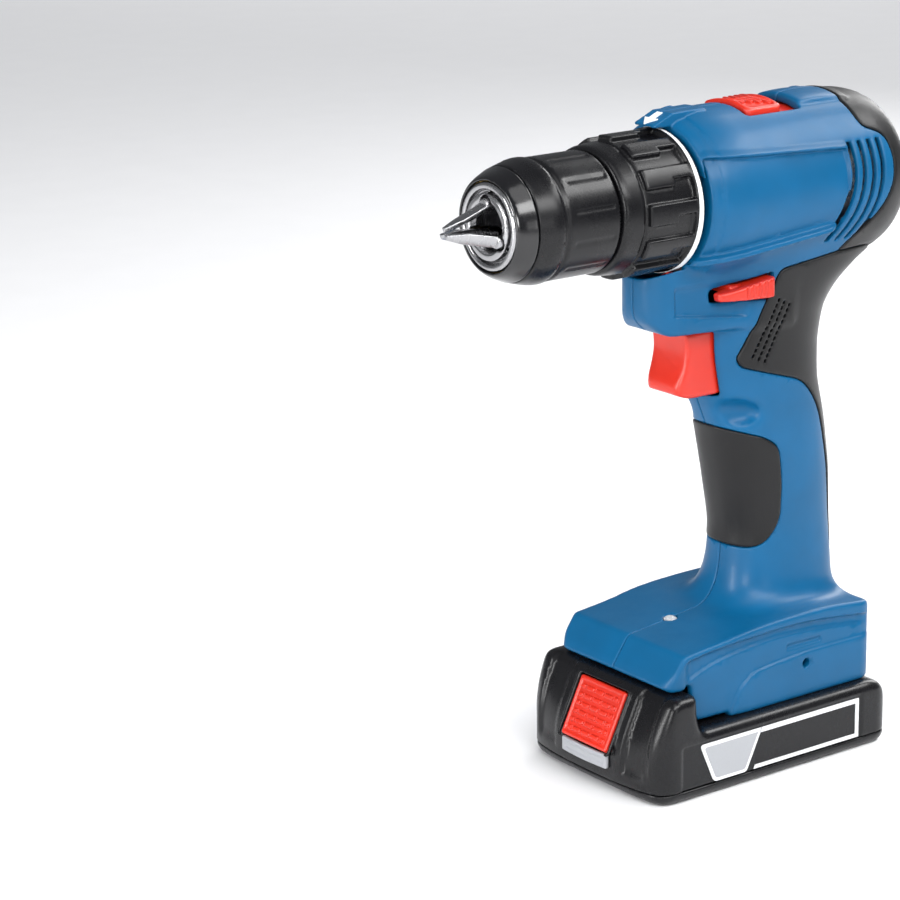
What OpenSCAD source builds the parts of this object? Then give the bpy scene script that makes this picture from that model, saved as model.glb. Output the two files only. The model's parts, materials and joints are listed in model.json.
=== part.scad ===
/* [Battery] */
// Battery pack length, front to back
batt_len = 115.7; // [100:0.1:130]
// Battery pack width
batt_w = 76.3; // [66:0.1:84]
// Height of the pack's side wall under the foot
batt_side_h = 25.2; // [22:0.1:28]
// Height of the pack's front block
batt_front_h = 39.5; // [36:0.1:42]
// Radius of one cell
cell_r = 9.15; // [8.9:0.05:9.3]
// Length of one cell
cell_len = 65; // [64:0.1:66]

/* [Head] */
// Height of the drilling axis above the pack's underside
axis_z = 212.5; // [205:0.1:220]
// Barrel radius
head_r = 31; // [29:0.1:32]
// Front face of the barrel
head_front = 26; // [25:0.1:26.4]
// Where the rear cap starts
cap_x = -58; // [-60:0.1:-56]
// Rear end of the tool
rear_x = -74; // [-76:0.1:-72]
// Shell wall
wall = 2.4; // [2:0.1:3]

/* [Collar and chuck] */
// Collar radius over its pads
collar_r = 24.9; // [24.4:0.1:25.2]
// Front face of the collar
collar_front = 60; // [59:0.1:60]
// Sleeve radius
sleeve_r = 21.6; // [21.5:0.1:22.4]
// Front face of the steel nose
nose_x = 102.8; // [102:0.1:104]
// Tip of the closed jaws
jaw_tip = 120.2; // [119:0.1:121]
// Slant of the jaws
jaw_angle = 17; // [16:0.5:17]
// Jaw rod radius
jaw_r = 3.0; // [2.8:0.05:3]

/* [Gears] */
// Gear module
gear_m = 0.7; // [0.69:0.005:0.7]

/* [Battery front] */
// Forward reach of the pack's bulged front, ahead of its middle
front_x = 61.5; // [60:0.1:62]

/* [Foot] */
// Foremost edge of the foot, under its sloping front
foot_front = 48; // [47:0.1:48.5]
// Back face of the foot
foot_rear = -52; // [-53:0.1:-51]
// Half width of the foot
foot_hw = 32.3; // [32:0.1:33]
// Underside of the foot's deck
deck_z = 40; // [40:0.1:40.4]

/* [Hidden] */
$fn = 64;
eps = 0.01;
jaw_ta = tan(jaw_angle);
batt_x = batt_len / 2;
batt_y = batt_w / 2;
skirt_z = batt_side_h + 0.4;
planet_r = (18 + 15) / 2 * gear_m;
jaw_len = 28;
blue = [0.03, 0.24, 0.47];
black = [0.06, 0.06, 0.07];
steel = [0.7, 0.7, 0.72];
red = [0.8, 0.12, 0.08];
grey = [0.35, 0.36, 0.38];
brass = [0.78, 0.62, 0.3];

// Revolve a profile of [x, radius] points about the drilling axis
module xrev(pts) {
    translate([0, 0, axis_z])
        rotate([0, 90, 0])
            rotate_extrude($fn = 96)
                polygon([for (p = pts) [p[1], p[0]]]);
}

// A ring about the drilling axis
module xring(x0, x1, r0, r1) {
    xrev([[x0, r0], [x1, r0], [x1, r1], [x0, r1]]);
}

module xcyl(x0, x1, r, y = 0, z = 0) {
    translate([x0, y, axis_z + z])
        rotate([0, 90, 0])
            cylinder(r = r, h = x1 - x0);
}

// Box from two corners
module box(a, b) {
    translate(a)
        cube(b - a);
}

// Rounded rectangle between x0 and x1, half width y
module rrect(x0, x1, y, r) {
    translate([x0 + r, -y])
        square([x1 - x0 - 2 * r, 2 * y]);
    translate([x0, -y + r])
        square([x1 - x0, 2 * y - 2 * r]);
    for (x = [x0 + r, x1 - r], s = [-1, 1])
        translate([x, s * (y - r)])
            circle(r = r);
}

// Side outline of [x, z] points given a thickness in y
module side(pts, y0, y1) {
    translate([0, y1, 0])
        rotate([90, 0, 0])
            linear_extrude(height = y1 - y0)
                polygon(pts);
}

loft_n = 28;

// One rounded section: height, centre x, half depth, half width, squareness
function section(s, d) = [for (i = [0 : loft_n - 1])
    let (t = 360 * (i + 0.5) / loft_n, c = cos(t), q = sin(t))
    [s[1] + (s[2] - d) * sign(c) * pow(abs(c), 2 / s[4]),
     (s[3] - d) * sign(q) * pow(abs(q), 2 / s[4]), s[0]]];

module loft(secs, d = 0) {
    pts = [for (s = secs) each section(s, d)];
    m = len(secs);
    polyhedron(points = pts, convexity = 4, faces = concat(
        [[for (i = [0 : loft_n - 1]) i]],
        [[for (i = [0 : loft_n - 1]) (m - 1) * loft_n + loft_n - 1 - i]],
        [for (k = [0 : m - 2], i = [0 : loft_n - 1]) let (j = (i + 1) % loft_n)
            [k * loft_n + i, (k + 1) * loft_n + i, (k + 1) * loft_n + j]],
        [for (k = [0 : m - 2], i = [0 : loft_n - 1]) let (j = (i + 1) % loft_n)
            [k * loft_n + i, (k + 1) * loft_n + j, k * loft_n + j]]));
}

// Handle from the foot's deck up into the barrel
handle = [[51, -24, 28, 23.5, 3], [55, -24, 28, 23.5, 3], [58.5, -25, 26.6, 21.2, 2.8], [64, -26.6, 25.1, 19.3, 2.6],
    [71, -27.5, 24.2, 18.6, 2.5], [85, -27.6, 23.5, 17.6, 2.4], [105, -25.5, 25, 18, 2.4],
    [125, -22, 25.2, 18.6, 2.4], [140, -17, 26.5, 18.9, 2.4], [155, -15.5, 27.4, 19.2, 2.5],
    [168, -16.5, 28.5, 19.8, 2.6], [177, -20, 32, 20.8, 2.8], [184, -25, 37, 22, 3], [190, -28, 40, 23, 3]];
handle_in = concat(handle, [[192, -28, 40, 23, 3]]);

// Barrel and rounded rear end, d inside the outer surface
module barrel(d) {
    xrev([[rear_x + d, 0], [head_front - d, 0], [head_front - d, 27.4 - d], [head_front - 2.5 - d / 2, 28.6 - d],
        [head_front - 9, 30.6 - d], [head_front - 14, head_r - d], [cap_x, head_r - d],
        [cap_x - 4, head_r - 0.3 - d], [cap_x - 8, head_r - 2.2 - d], [cap_x - 12 + d / 3, head_r - 5.8 - d],
        [rear_x + 1.6 + d, head_r - 9.6 - d], [rear_x + d, head_r - 13.2 - d]]);
}

// Underside of the indicator tab
tab_z = axis_z + 26.4;

// The chin below the collar
module chin(d) {
    intersection() {
        side([[-20, 165 + d], [32.5 - d, 165 + d], [39 - d, 171 + d], [39 - d, 196], [-20, 196]],
            -25, 25);
        translate([0, 0, 160])
            linear_extrude(height = 40)
                union() {
                    translate([25, 0])
                        circle(r = 14 - d);
                    polygon([[-20, -19.8 + d], [0, -19.2 + d], [27, -13.9 + d], [27, 13.9 - d],
                        [0, 19.2 - d], [-20, 19.8 - d]]);
                }
    }
}

module foot(d) {
    intersection() {
        translate([0, 0, skirt_z - eps])
            linear_extrude(height = 40)
                rrect(foot_rear + d, foot_front - d, foot_hw - d, 7 - d);
        side([[foot_rear, skirt_z], [33.8, skirt_z], [36.5, 30], [37.4, deck_z], [42.6, deck_z],
            [foot_front - 1.45 * d, 44.6], [foot_front - 8.8 - 0.4 * d, 53 - d], [0, 56.8 - d],
            [-30, 56.8 - d], [foot_rear, 54.4 - d]], -40, 40);
    }
}

// Space for the pack's tower under the deck
module foot_bay() {
    box([foot_rear + wall + 1, -28.7, 20], [foot_front + 5, 28.7, deck_z]);
    box([35, -40, 20], [foot_front + 5, 40, deck_z]);
}

module outer_shell() {
    barrel(0);
    chin(0);
    loft(handle);
    foot(0);
    // indicator tab over the collar, and the hump behind the selector
    side([[33.5, tab_z], [33.2, tab_z + 1], [25, axis_z + head_r - 0.1], [14, axis_z + head_r - 0.2],
        [14, tab_z]], -5.5, 5.5);
    intersection() {
        xrev([[-47.3, 20], [-47.3, 32.2], [-46, 32.4], [-29, 32.4], [-29, 20]]);
        box([-60, -11.4, 230], [0, 11.4, 260]);
    }
}

module inner_space() {
    barrel(wall);
    chin(wall);
    loft(handle_in, wall);
    intersection() {
        foot(wall);
        box([-60, -40, deck_z + 2.6], [60, 40, 70]);
    }
}

// Region of the barrel covered by the rear cap: its back, and bands over the top and below
module cap_zone(g) {
    side([[-90, 260], [-47.5 + g, 260], [-48.3 + g, 233], [-57.4 + g, 229.6 - g], [-59.3 + g, 222],
        [-58.5 + g, 213 + g], [-54 + g, 204], [-46 + g, 195], [-39 + g, 188.4], [-41 + g, 181], [-90, 181]],
        -40, 40);
}

// Region covered by the front grip, on the front of the handle
module front_grip_zone(g) {
    side([[30, 80.5 - g], [-11, 79 - g], [-17 - g, 85 - g], [-18.5 - g, 96], [-17 - g, 116 + g],
        [-11 - g, 121.5 + g], [5, 127 + g], [30, 131 + g]], -40, 40);
}

// Region covered by the rear grip, on the back of the handle and under the barrel
module rear_grip_zone(g) {
    side([[-80, 70 - g], [-49 + g, 70 - g], [-46.5 + g, 85], [-42.5 + g, 112], [-36.5 + g, 131],
        [-27 + g, 141.5 - g], [1 + g, 150 - g], [3 + g, 152.5], [-12.4 + g, 185.5 + g], [-80, 187 + g]],
        -40, 40);
}

module grip_skin(t) {
    difference() {
        loft(handle);
        loft(handle_in, t);
        barrel(-0.02);
    }
}

lever_z = 180;

module housing() {
    difference() {
        union() {
            difference() {
                outer_shell();
                inner_space();
                foot_bay();
            }
            // rails that carry the pack
            for (s = [-1, 1])
                box([-48, s > 0 ? 22.2 : -28.8, 26.3], [30, s > 0 ? 28.8 : -22.2, 29.5]);
            // lamp tube
            translate([20, 0, 48])
                cylinder(r = 3.8, h = 6);
            // posts for the control board
            for (x = [-24, 8], s = [-1, 1])
                translate([x, s * 14, deck_z + 2])
                    cylinder(r = 2, h = 3);
            // posts that take the housing screws
            screw_posts();
        }
        // seats of the two rubber grips and the rear cap
        intersection() {
            difference() {
                loft(handle, -1);
                loft(handle_in, 1.3);
            }
            front_grip_zone(0.02);
        }
        intersection() {
            difference() {
                loft(handle, -1);
                loft(handle_in, 1.3);
                barrel(-0.02);
            }
            rear_grip_zone(0.02);
        }
        intersection() {
            union() {
                barrel(-0.02);
                box([-90, -30, 187.02], [-38, 30, 260]);
            }
            cap_zone(0.02);
        }
        // collar clearance over the chin and the gearbox nose hole
        xring(head_front, 70, 0, collar_r + 0.9);
        xcyl(10, 40, 16.7);
        // trigger, lever, selector and lamp openings
        box([2, -10.3, 139], [30, 10.3, 164.8]);
        box([-9, -30, lever_z - 3.5], [15, 30, lever_z + 3.7]);
        box([-28.6, -11.4, 236], [-3.4, 11.4, 250]);
        translate([20, 0, 47])
            cylinder(r = 2.6, h = 12);
        // cooling slots
        for (x = vent_x, s = [-1, 1])
            box([x - 1, s > 0 ? 15 : -35, 200], [x + 1, s > 0 ? 35 : -15, 229]);
        // latch catch, behind the front lip of the deck
        box([34.9, -8.4, deck_z - 1], [42, 8.4, deck_z + 1.8]);
        // accessory screw hole and slot on each side of the foot
        translate([-18, -40, 38])
            rotate([-90, 0, 0])
                cylinder(r = 1.6, h = 80);
        for (s = [-1, 1])
            box([-26, s > 0 ? foot_hw - 1 : -foot_hw - 1, 44.6], [-9, s > 0 ? foot_hw + 1 : 1 - foot_hw, 46.4]);
        screw_holes();
    }
}

// Centres of the cooling slots
vent_x = [-39.8, -44.7, -49.3, -53.6];

screws = [[-48, axis_z + 26.1], [14, axis_z + 26.1], [-48, axis_z - 25.6], [28, 177], [-24, 130],
    [-24, 97], [-40, 62], [32, 49]];

module screw_posts() {
    intersection() {
        for (p = screws)
            translate([p[0], -31, p[1]])
                rotate([-90, 0, 0])
                    cylinder(r = 2.9, h = 62);
        outer_shell();
    }
}

// Pilot hole for each screw and a counterbore for its head on the right
module screw_holes() {
    for (p = screws)
        translate([p[0], 0, p[1]])
            rotate([90, 0, 0]) {
                translate([0, 0, -14])
                    cylinder(r = 1.8, h = 60);
                translate([0, 0, 11.98])
                    cylinder(r = 2.7, h = 60);
            }
}

module left_housing() {
    color(blue)
        intersection() {
            housing();
            box([-100, 0, 0], [100, 60, 260]);
        }
}

module right_housing() {
    color(blue)
        intersection() {
            housing();
            box([-100, -60, 0], [100, 0, 260]);
        }
}

module front_grip() {
    color(black)
        intersection() {
            grip_skin(1.3);
            front_grip_zone(0);
        }
}

module rear_grip() {
    color(black)
        difference() {
            intersection() {
                grip_skin(1.3);
                rear_grip_zone(0);
            }
            // clear of the direction lever
            box([-9.4, -30, lever_z - 3.9], [15, 30, lever_z + 4.1]);
        }
}

module rear_cap() {
    color(black)
        difference() {
            intersection() {
                barrel(0);
                cap_zone(0);
            }
            barrel(wall);
            for (x = vent_x, s = [-1, 1])
                box([x - 1, s > 0 ? 15 : -35, 200], [x + 1, s > 0 ? 35 : -15, 229]);
            screw_holes();
        }
}

module housing_screws() {
    color(steel)
        for (p = screws)
            translate([p[0], 0, p[1]])
                rotate([90, 0, 0]) {
                    translate([0, 0, -12])
                        cylinder(r = 1.7, h = 24.2);
                    difference() {
                        translate([0, 0, 12])
                            cylinder(r = 2.6, h = 2.4);
                        translate([0, 0, 13])
                            cylinder(r = 1.3, h = 3);
                    }
                }
}

module led_lens() {
    color([0.9, 0.92, 0.95])
        union() {
            translate([20, 0, 48.4])
                cylinder(r = 2.5, h = 6.4);
            translate([20, 0, 54.8])
                intersection() {
                    translate([0, 0, -2.5])
                        sphere(r = 3.5);
                    cylinder(r = 2.5, h = 3);
                }
        }
}

// Pale arrow on the slope of the indicator tab
module collar_pointer() {
    color([0.85, 0.88, 0.92])
        intersection() {
            side([[33.2, tab_z + 1], [25, axis_z + head_r - 0.1], [25.2, axis_z + head_r + 0.3],
                [33.45, tab_z + 1.35]], -6, 6);
            linear_extrude(height = 260)
                polygon([[33.4, 0], [29.8, 3.6], [29.8, 1.5], [26, 1.5], [26, -1.5], [29.8, -1.5],
                    [29.8, -3.6]]);
        }
}

module gearbox_housing() {
    color(grey)
        difference() {
            union() {
                xring(-17, 23.6, 20.4, 23);
                xring(20.6, 23.6, 7.4, 24.9);
                xring(23.6, 57, 7.4, 16.4);
                xring(-17, -15.6, 7.4, 20.8);
            }
            xring(23.4, 34, 0, 13.1);
            // slot for the shift ring's tongue
            box([-9, -4, axis_z + 15], [6, 4, axis_z + 30]);
        }
}

module gear2d(n, r_in, thin) {
    rp = n * gear_m / 2;
    a = 360 / n;
    difference() {
        polygon([for (i = [0 : n - 1]) each [
            [(rp - 0.8) * cos(a * (i - 0.30)), (rp - 0.8) * sin(a * (i - 0.30))],
            [rp * cos(a * (i - 0.25 + thin)), rp * sin(a * (i - 0.25 + thin))],
            [(rp + 0.58) * cos(a * (i - 0.14 + thin)), (rp + 0.58) * sin(a * (i - 0.14 + thin))],
            [(rp + 0.58) * cos(a * (i + 0.14 - thin)), (rp + 0.58) * sin(a * (i + 0.14 - thin))],
            [rp * cos(a * (i + 0.25 - thin)), rp * sin(a * (i + 0.25 - thin))],
            [(rp - 0.8) * cos(a * (i + 0.30)), (rp - 0.8) * sin(a * (i + 0.30))]]]);
        if (r_in > 0)
            circle(r = r_in, $fn = 32);
    }
}

module ring2d(r_out) {
    rp = 48 * gear_m / 2;
    a = 360 / 48;
    difference() {
        circle(r = r_out, $fn = 96);
        polygon([for (i = [0 : 47]) each [
            [(rp - 0.55) * cos(a * (i - 0.36)), (rp - 0.55) * sin(a * (i - 0.36))],
            [rp * cos(a * (i - 0.28)), rp * sin(a * (i - 0.28))],
            [(rp + 0.8) * cos(a * (i - 0.2)), (rp + 0.8) * sin(a * (i - 0.2))],
            [(rp + 0.8) * cos(a * (i + 0.2)), (rp + 0.8) * sin(a * (i + 0.2))],
            [rp * cos(a * (i + 0.28)), rp * sin(a * (i + 0.28))],
            [(rp - 0.55) * cos(a * (i + 0.36)), (rp - 0.55) * sin(a * (i + 0.36))]]]);
    }
}

// Extrude a gear outline along the drilling axis; its first axis points to +Z
module xgear(x0, h, spin = 0) {
    translate([x0, 0, axis_z])
        rotate([0, 90, 0])
            rotate([0, 0, 180 + spin])
                linear_extrude(height = h)
                    children();
}

module ring_gear(x0, h) {
    xgear(x0, h)
        ring2d(20.3);
}

module ring_gear_1() {
    color(steel)
        ring_gear(-15.4, 6.2);
}

module ring_gear_3() {
    color(steel)
        ring_gear(7.6, 7.8);
}

// Shift ring: slides with the selector
module ring_gear_2() {
    color(steel)
        difference() {
            xgear(-2.6, 7)
                ring2d(20.1);
            xring(0.6, 3.2, 18.9, 21);
        }
}

module spindle_bearing() {
    color(steel)
        difference() {
            xring(23.8, 33.8, 6.07, 13);
            xring(33.3, 34, 8.2, 11);
        }
}

// Coil spring about the drilling axis
module clutch_spring() {
    turns = 6;
    seg = 18;
    wire = 5;
    n = turns * seg;
    pts = [for (k = [0 : n], w = [0 : wire - 1])
        let (t = 360 * k / seg, x = 28 + 24 * k / n, rr = 18.6 + 0.95 * cos(360 * w / wire))
        [x + 0.95 * sin(360 * w / wire), rr * cos(t), axis_z + rr * sin(t)]];
    color(steel)
        polyhedron(points = pts, convexity = 8, faces = concat(
            [[for (w = [0 : wire - 1]) w]],
            [[for (w = [wire - 1 : -1 : 0]) n * wire + w]],
            [for (k = [0 : n - 1], w = [0 : wire - 1]) let (v = (w + 1) % wire)
                [k * wire + w, (k + 1) * wire + w, (k + 1) * wire + v]],
            [for (k = [0 : n - 1], w = [0 : wire - 1]) let (v = (w + 1) % wire)
                [k * wire + w, (k + 1) * wire + v, k * wire + v]]));
}

module motor_can() {
    color(steel)
        difference() {
            union() {
                xring(-64, -26, 19.6, 21);
                xring(-27.2, -26, 3.2, 21);
                xring(-65.6, -64, 3.2, 21);
                xring(-68.6, -65.6, 3.2, 7);
                xring(-26, -24.4, 3.2, 7);
            }
            for (k = [0 : 5])
                translate([-66, 0, axis_z])
                    rotate([60 * k + 30, 0, 0])
                        translate([0, 0, 13.5])
                            rotate([0, 90, 0])
                                cylinder(r = 2.6, h = 42);
        }
}

module motor_magnets() {
    color([0.18, 0.18, 0.2])
        difference() {
            xring(-52, -30, 15.2, 19.5);
            box([-60, -25, axis_z - 3], [-20, 25, axis_z + 3]);
        }
}

module brush_holder() {
    color([0.24, 0.16, 0.1])
        union() {
            difference() {
                xring(-63.8, -62, 8.4, 19.4);
                box([-70, -25, axis_z - 2], [-60, 25, axis_z + 2]);
            }
            for (s = [-1, 1])
                box([-62, s > 0 ? 6.6 : -15, axis_z - 2.2], [-56, s > 0 ? 15 : -6.6, axis_z + 2.2]);
        }
}

module rotor() {
    color([0.5, 0.34, 0.2])
        union() {
            xcyl(-69.4, -8.9, 2.5);
            difference() {
                xcyl(-52, -30, 14.6);
                for (k = [0 : 11])
                    translate([-53, 0, axis_z])
                        rotate([30 * k, 0, 0])
                            box([0, -0.9, 11.4], [24, 0.9, 16]);
            }
            xcyl(-55, -52, 9.5);
            xcyl(-30, -28.4, 9.5);
            xcyl(-61.6, -55.6, 6);
            xgear(-15, 6.1)
                gear2d(18, 2, 0.02);
        }
}

module cooling_fan() {
    color([0.15, 0.15, 0.16])
        union() {
            xring(-20, -18.8, 2.5, 18.6);
            xring(-24, -18.8, 2.5, 6);
            for (k = [0 : 10])
                translate([-23.6, 0, axis_z])
                    rotate([360 / 11 * k, 0, 0])
                        box([0, -0.6, 8], [4, 0.6, 18.4]);
        }
}

module planet_pins(x0, x1) {
    for (k = [0 : 2])
        translate([x0, 0, axis_z])
            rotate([120 * k, 0, 0])
                translate([0, 0, planet_r])
                    rotate([0, 90, 0])
                        cylinder(r = 2, h = x1 - x0 + 1);
}

module carrier_1() {
    color(steel)
        union() {
            xcyl(-8.2, -5.2, 15.2);
            planet_pins(-15, -8.2);
            xgear(-5.2, 7.6)
                gear2d(18, 0, 0.02);
        }
}

module carrier_2() {
    color(steel)
        union() {
            xcyl(3.4, 6.4, 14);
            planet_pins(-4.4, 3.4);
            xgear(6.4, 8.6)
                gear2d(18, 0, 0.02);
        }
}

module planet(x0, h, k) {
    color(steel)
        translate([0, 0, axis_z])
            rotate([120 * k, 0, 0])
                translate([x0, 0, planet_r])
                    rotate([0, 90, 0])
                        rotate([0, 0, 180])
                            linear_extrude(height = h)
                                gear2d(15, 2.08, 0.02);
}

module planet_1a() {
    planet(-15, 6, 0);
}

module planet_1b() {
    planet(-15, 6, 1);
}

module planet_1c() {
    planet(-15, 6, 2);
}

module planet_2a() {
    planet(-4.4, 7, 0);
}

module planet_2b() {
    planet(-4.4, 7, 1);
}

module planet_2c() {
    planet(-4.4, 7, 2);
}

module planet_3a() {
    planet(7.8, 7, 0);
}

module planet_3b() {
    planet(7.8, 7, 1);
}

module planet_3c() {
    planet(7.8, 7, 2);
}

module output_spindle() {
    color(steel)
        union() {
            xcyl(15.8, 18.8, 15);
            planet_pins(7.8, 15.8);
            xcyl(18.8, 80, 6);
            xring(34.6, 37, 5, 7.05);
        }
}

// Place a jaw feature: local Z runs forward along the jaw's own slanted axis
module on_jaw(k) {
    translate([jaw_tip, 0, axis_z])
        rotate([120 * k, 0, 0])
            translate([0, 0, 2.3])
                rotate([0, 90 + jaw_angle, 0])
                    children();
}

module jaw(k) {
    color(steel)
        intersection() {
            on_jaw(k)
                translate([0, 0, -jaw_len / cos(jaw_angle)])
                    cylinder(r = jaw_r, h = jaw_len / cos(jaw_angle) + 5);
            translate([60, 0, axis_z])
                rotate([120 * k, 0, 0])
                    rotate([0, 90, 0])
                        linear_extrude(height = jaw_tip - 60)
                            polygon([[-0.24, 0], [-30, 50], [-30, -50]]);
            xrev([[60, 0], [60, 30], [jaw_tip - 18, 30], [jaw_tip - 5, 5.4], [jaw_tip, 2.5], [jaw_tip, 0]]);
        }
}

module jaw_1() {
    jaw(0);
}

module jaw_2() {
    jaw(1);
}

module jaw_3() {
    jaw(2);
}

module chuck_body() {
    color(steel)
        difference() {
            union() {
                xrev([[62.4, 6], [80, 6], [80, 6.8], [nose_x - 1.2, 6.8], [nose_x, 8.4], [nose_x, 11.6],
                    [nose_x - 0.9, 12.2], [nose_x - 0.9, 13.2], [nose_x - 0.2, 13.6], [nose_x - 0.2, 14.8],
                    [nose_x - 1.4, 15.5], [98.2, 15.5], [98.2, 12.7], [91.9, 12.7], [91.9, 16.2],
                    [62.4, 16.2]]);
            }
            for (k = [0 : 2])
                on_jaw(k)
                    translate([0, 0, -60])
                        cylinder(r = jaw_r + 0.3, h = 70);
        }
}

module chuck_screw() {
    color([0.25, 0.25, 0.27])
        difference() {
            xcyl(80, 84, 4.6);
            xcyl(82, 86, 2);
        }
}

module chuck_sleeve() {
    color(black)
        difference() {
            xrev([[60.6, 7], [60.6, sleeve_r - 0.6], [61.4, sleeve_r], [82.6, sleeve_r], [83.4, sleeve_r - 0.45],
                [84.6, sleeve_r - 0.45], [85.2, sleeve_r + 0.5], [88, sleeve_r + 0.45], [94.5, sleeve_r - 1.3],
                [94.5, 17.6], [91.5, 17.6], [78, 20.5], [62, 20.5], [62, 7]]);
            // shallow grip flutes
            for (k = [0 : 11])
                translate([63, 0, axis_z])
                    rotate([30 * k + 15, 0, 0])
                        translate([0, 0, sleeve_r + 0.7])
                            rotate([0, 90, 0])
                                cylinder(r = 1, h = 18);
        }
}

module sleeve_front_ring() {
    color(black)
        xrev([[94.5, 17.6], [94.5, sleeve_r - 1.8], [95.4, sleeve_r - 1.5], [99.6, 18.2], [101.2, 17.1],
            [101.8, 16.3], [101.8, 15.9], [98.6, 15.9], [98.6, 17.6]]);
}

module jaw_nut() {
    color(brass)
        xring(92.3, 97.8, 14.3, 17.55);
}

pad_n = 12;

module torque_collar() {
    color(black)
        difference() {
            union() {
                xrev([[26.6, 21], [26.6, 25.3], [27.4, 25.8], [29.6, 25.8], [30.4, 23.7], [50.6, 23.4],
                    [51.2, 22.7], [52, 23.5], [58.4, 22.9], [59.4, 22.4], [collar_front, 21.6],
                    [collar_front, 8], [57.6, 8], [57.6, 21]]);
                for (k = [0 : pad_n - 1])
                    intersection() {
                        xring(30, 50.4, 22, collar_r);
                        translate([30, 0, axis_z])
                            rotate([360 / pad_n * k, 0, 0])
                                union() {
                                    box([0, -4.4, 20], [20.4, 0.4, 30]);
                                    box([8, 0.3, 20], [20.4, 3, 30]);
                                }
                    }
            }
            xring(26, 31, 25.45, 27);
        }
}

// White printed band, thin at one end and thick at the other
module torque_scale() {
    color([0.92, 0.92, 0.92])
        difference() {
            xring(26.9, 29.5, 25.47, 25.75);
            for (k = [0 : 17])
                translate([29.8 - 0.1 * k, 0, axis_z])
                    rotate([-15 * k + 30, 0, 0])
                        box([0, -3.4, 20], [4, 3.4, 30]);
            translate([26, 0, axis_z])
                rotate([140, 0, 0])
                    box([0, -12, 20], [4, -8, 30]);
        }
}

module spring_nut() {
    color(grey)
        xring(53.4, 55.6, 16.8, 20.98);
}

module gear_selector() {
    color(red)
        union() {
            intersection() {
                xring(-22, -4, 27.5, 32.2);
                box([-22, -11, 230], [-4, 11, 260]);
            }
            intersection() {
                xring(-34, 2, 27.4, 28.2);
                box([-40, -12.6, 230], [10, 12.6, 260]);
            }
            for (k = [0 : 3])
                intersection() {
                    xring(-20.5 + 4.4 * k, -18.9 + 4.4 * k, 32, 33);
                    box([-30, -8 + k, 230], [10, 8 - k, 260]);
                }
            box([0.9, -3, axis_z + 19], [2.4 - 0.5, 3, axis_z + 27.6]);
        }
}

module trigger() {
    color(red)
        union() {
            intersection() {
                side([[9, 139.6], [20, 140.2], [24.2, 142], [24.8, 144.6], [22.2, 150], [20.9, 156],
                    [21.2, 161], [22, 164.4], [9, 164.4]], -9.8, 9.8);
                translate([0, 0, 130])
                    linear_extrude(height = 50)
                        rrect(2, 25, 9.8, 4.4);
            }
            box([-8, -3.4, 151], [9.1, 3.4, 159]);
            // thin skirt that fills the opening behind the blade
            for (s = [-1, 1])
                box([3.4, s > 0 ? 8.6 : -9.8, 140], [9.1, s > 0 ? 9.8 : -8.6, 164.4]);
            box([3.4, -9.8, 139.8], [9.1, 9.8, 141.2]);
        }
}

module switch_body() {
    color([0.12, 0.12, 0.13])
        difference() {
            union() {
                box([-32, -11, 144], [-6, 11, 168]);
                box([-6.1, -8, 144], [0.4, 8, 168]);
            }
            box([-17, -3.8, 150.6], [1, 3.8, 159.4]);
        }
}

module direction_lever() {
    color(red)
        union() {
            box([-3, -19, lever_z - 1.6], [9, 19, lever_z + 1.6]);
            for (s = [-1, 1])
                intersection() {
                    side([[14.5, lever_z + 0.6], [14.5, lever_z - 2], [-8.5, lever_z - 3], [-8.5, lever_z + 3.2]],
                        s > 0 ? 16 : -26, s > 0 ? 26 : -16);
                    translate([0, 0, 170])
                        linear_extrude(height = 20)
                            polygon([[14.5, s * 16.2], [14.5, s * 19], [11, s * 21], [-6, s * 24],
                                [-8.5, s * 23.4], [-8.5, s * 16.2]]);
                }
        }
}

module control_board() {
    color([0.05, 0.3, 0.15])
        union() {
            box([-28.6, -17, deck_z + 5], [14, 17, deck_z + 6.6]);
            box([-22, -9, deck_z + 6.6], [-12, 3, deck_z + 9]);
            translate([2, 6, deck_z + 6.6])
                cylinder(r = 3.6, h = 6);
            box([-8, -12, deck_z + 6.6], [-3, -4, deck_z + 10]);
        }
}

module terminal_block() {
    color([0.14, 0.14, 0.15])
        union() {
            box([-48.6, -20, 29.7], [-39.4, 20, deck_z]);
            for (y = [-14, 0, 14])
                box([-39.5, y - 0.4, 31.5], [-27, y + 0.4, 37.5]);
        }
}

// Leads from the terminals up the handle to the switch, and from the switch to the motor
module wiring() {
    for (s = [-1, 1])
        color(s > 0 ? [0.7, 0.05, 0.05] : [0.05, 0.05, 0.05]) {
            translate([-30.6, s * 6, deck_z + 2.6])
                cylinder(r = 1.2, h = 144 - deck_z - 2.6);
            translate([-29, s * 6, 168])
                cylinder(r = 1.2, h = 21);
        }
}

module batt_outline(d) {
    side([[-batt_x + d, 2.5], [-batt_x + 2.5 + d, d], [front_x - 7 - d, d], [front_x - d, 5],
        [front_x - d, 15], [front_x - 11.9 - d, batt_front_h - d], [37.8, batt_front_h - d],
        [37, 30], [34.4, batt_side_h - d], [-50, batt_side_h - d], [-batt_x + d, 21.2 - d]], -60, 60);
}

// Plan view of the pack: rounded corners and a gently bulged front
module batt_plan(d) {
    intersection() {
        rrect(-batt_x + d, front_x - d, batt_y - d, 9 - d);
        translate([front_x - 115, 0])
            circle(r = 115 - d, $fn = 180);
    }
}

module batt_solid(d) {
    intersection() {
        batt_outline(d);
        translate([0, 0, -1])
            linear_extrude(height = 60)
                batt_plan(d);
    }
}

split_z = 4.6;

module battery_bottom_case() {
    color(black)
        difference() {
            intersection() {
                batt_solid(0);
                box([-80, -60, -1], [80, 60, split_z]);
            }
            box([-50.2, -33.5, 2.1], [50.2, 33.5, 20]);
        }
}

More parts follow.
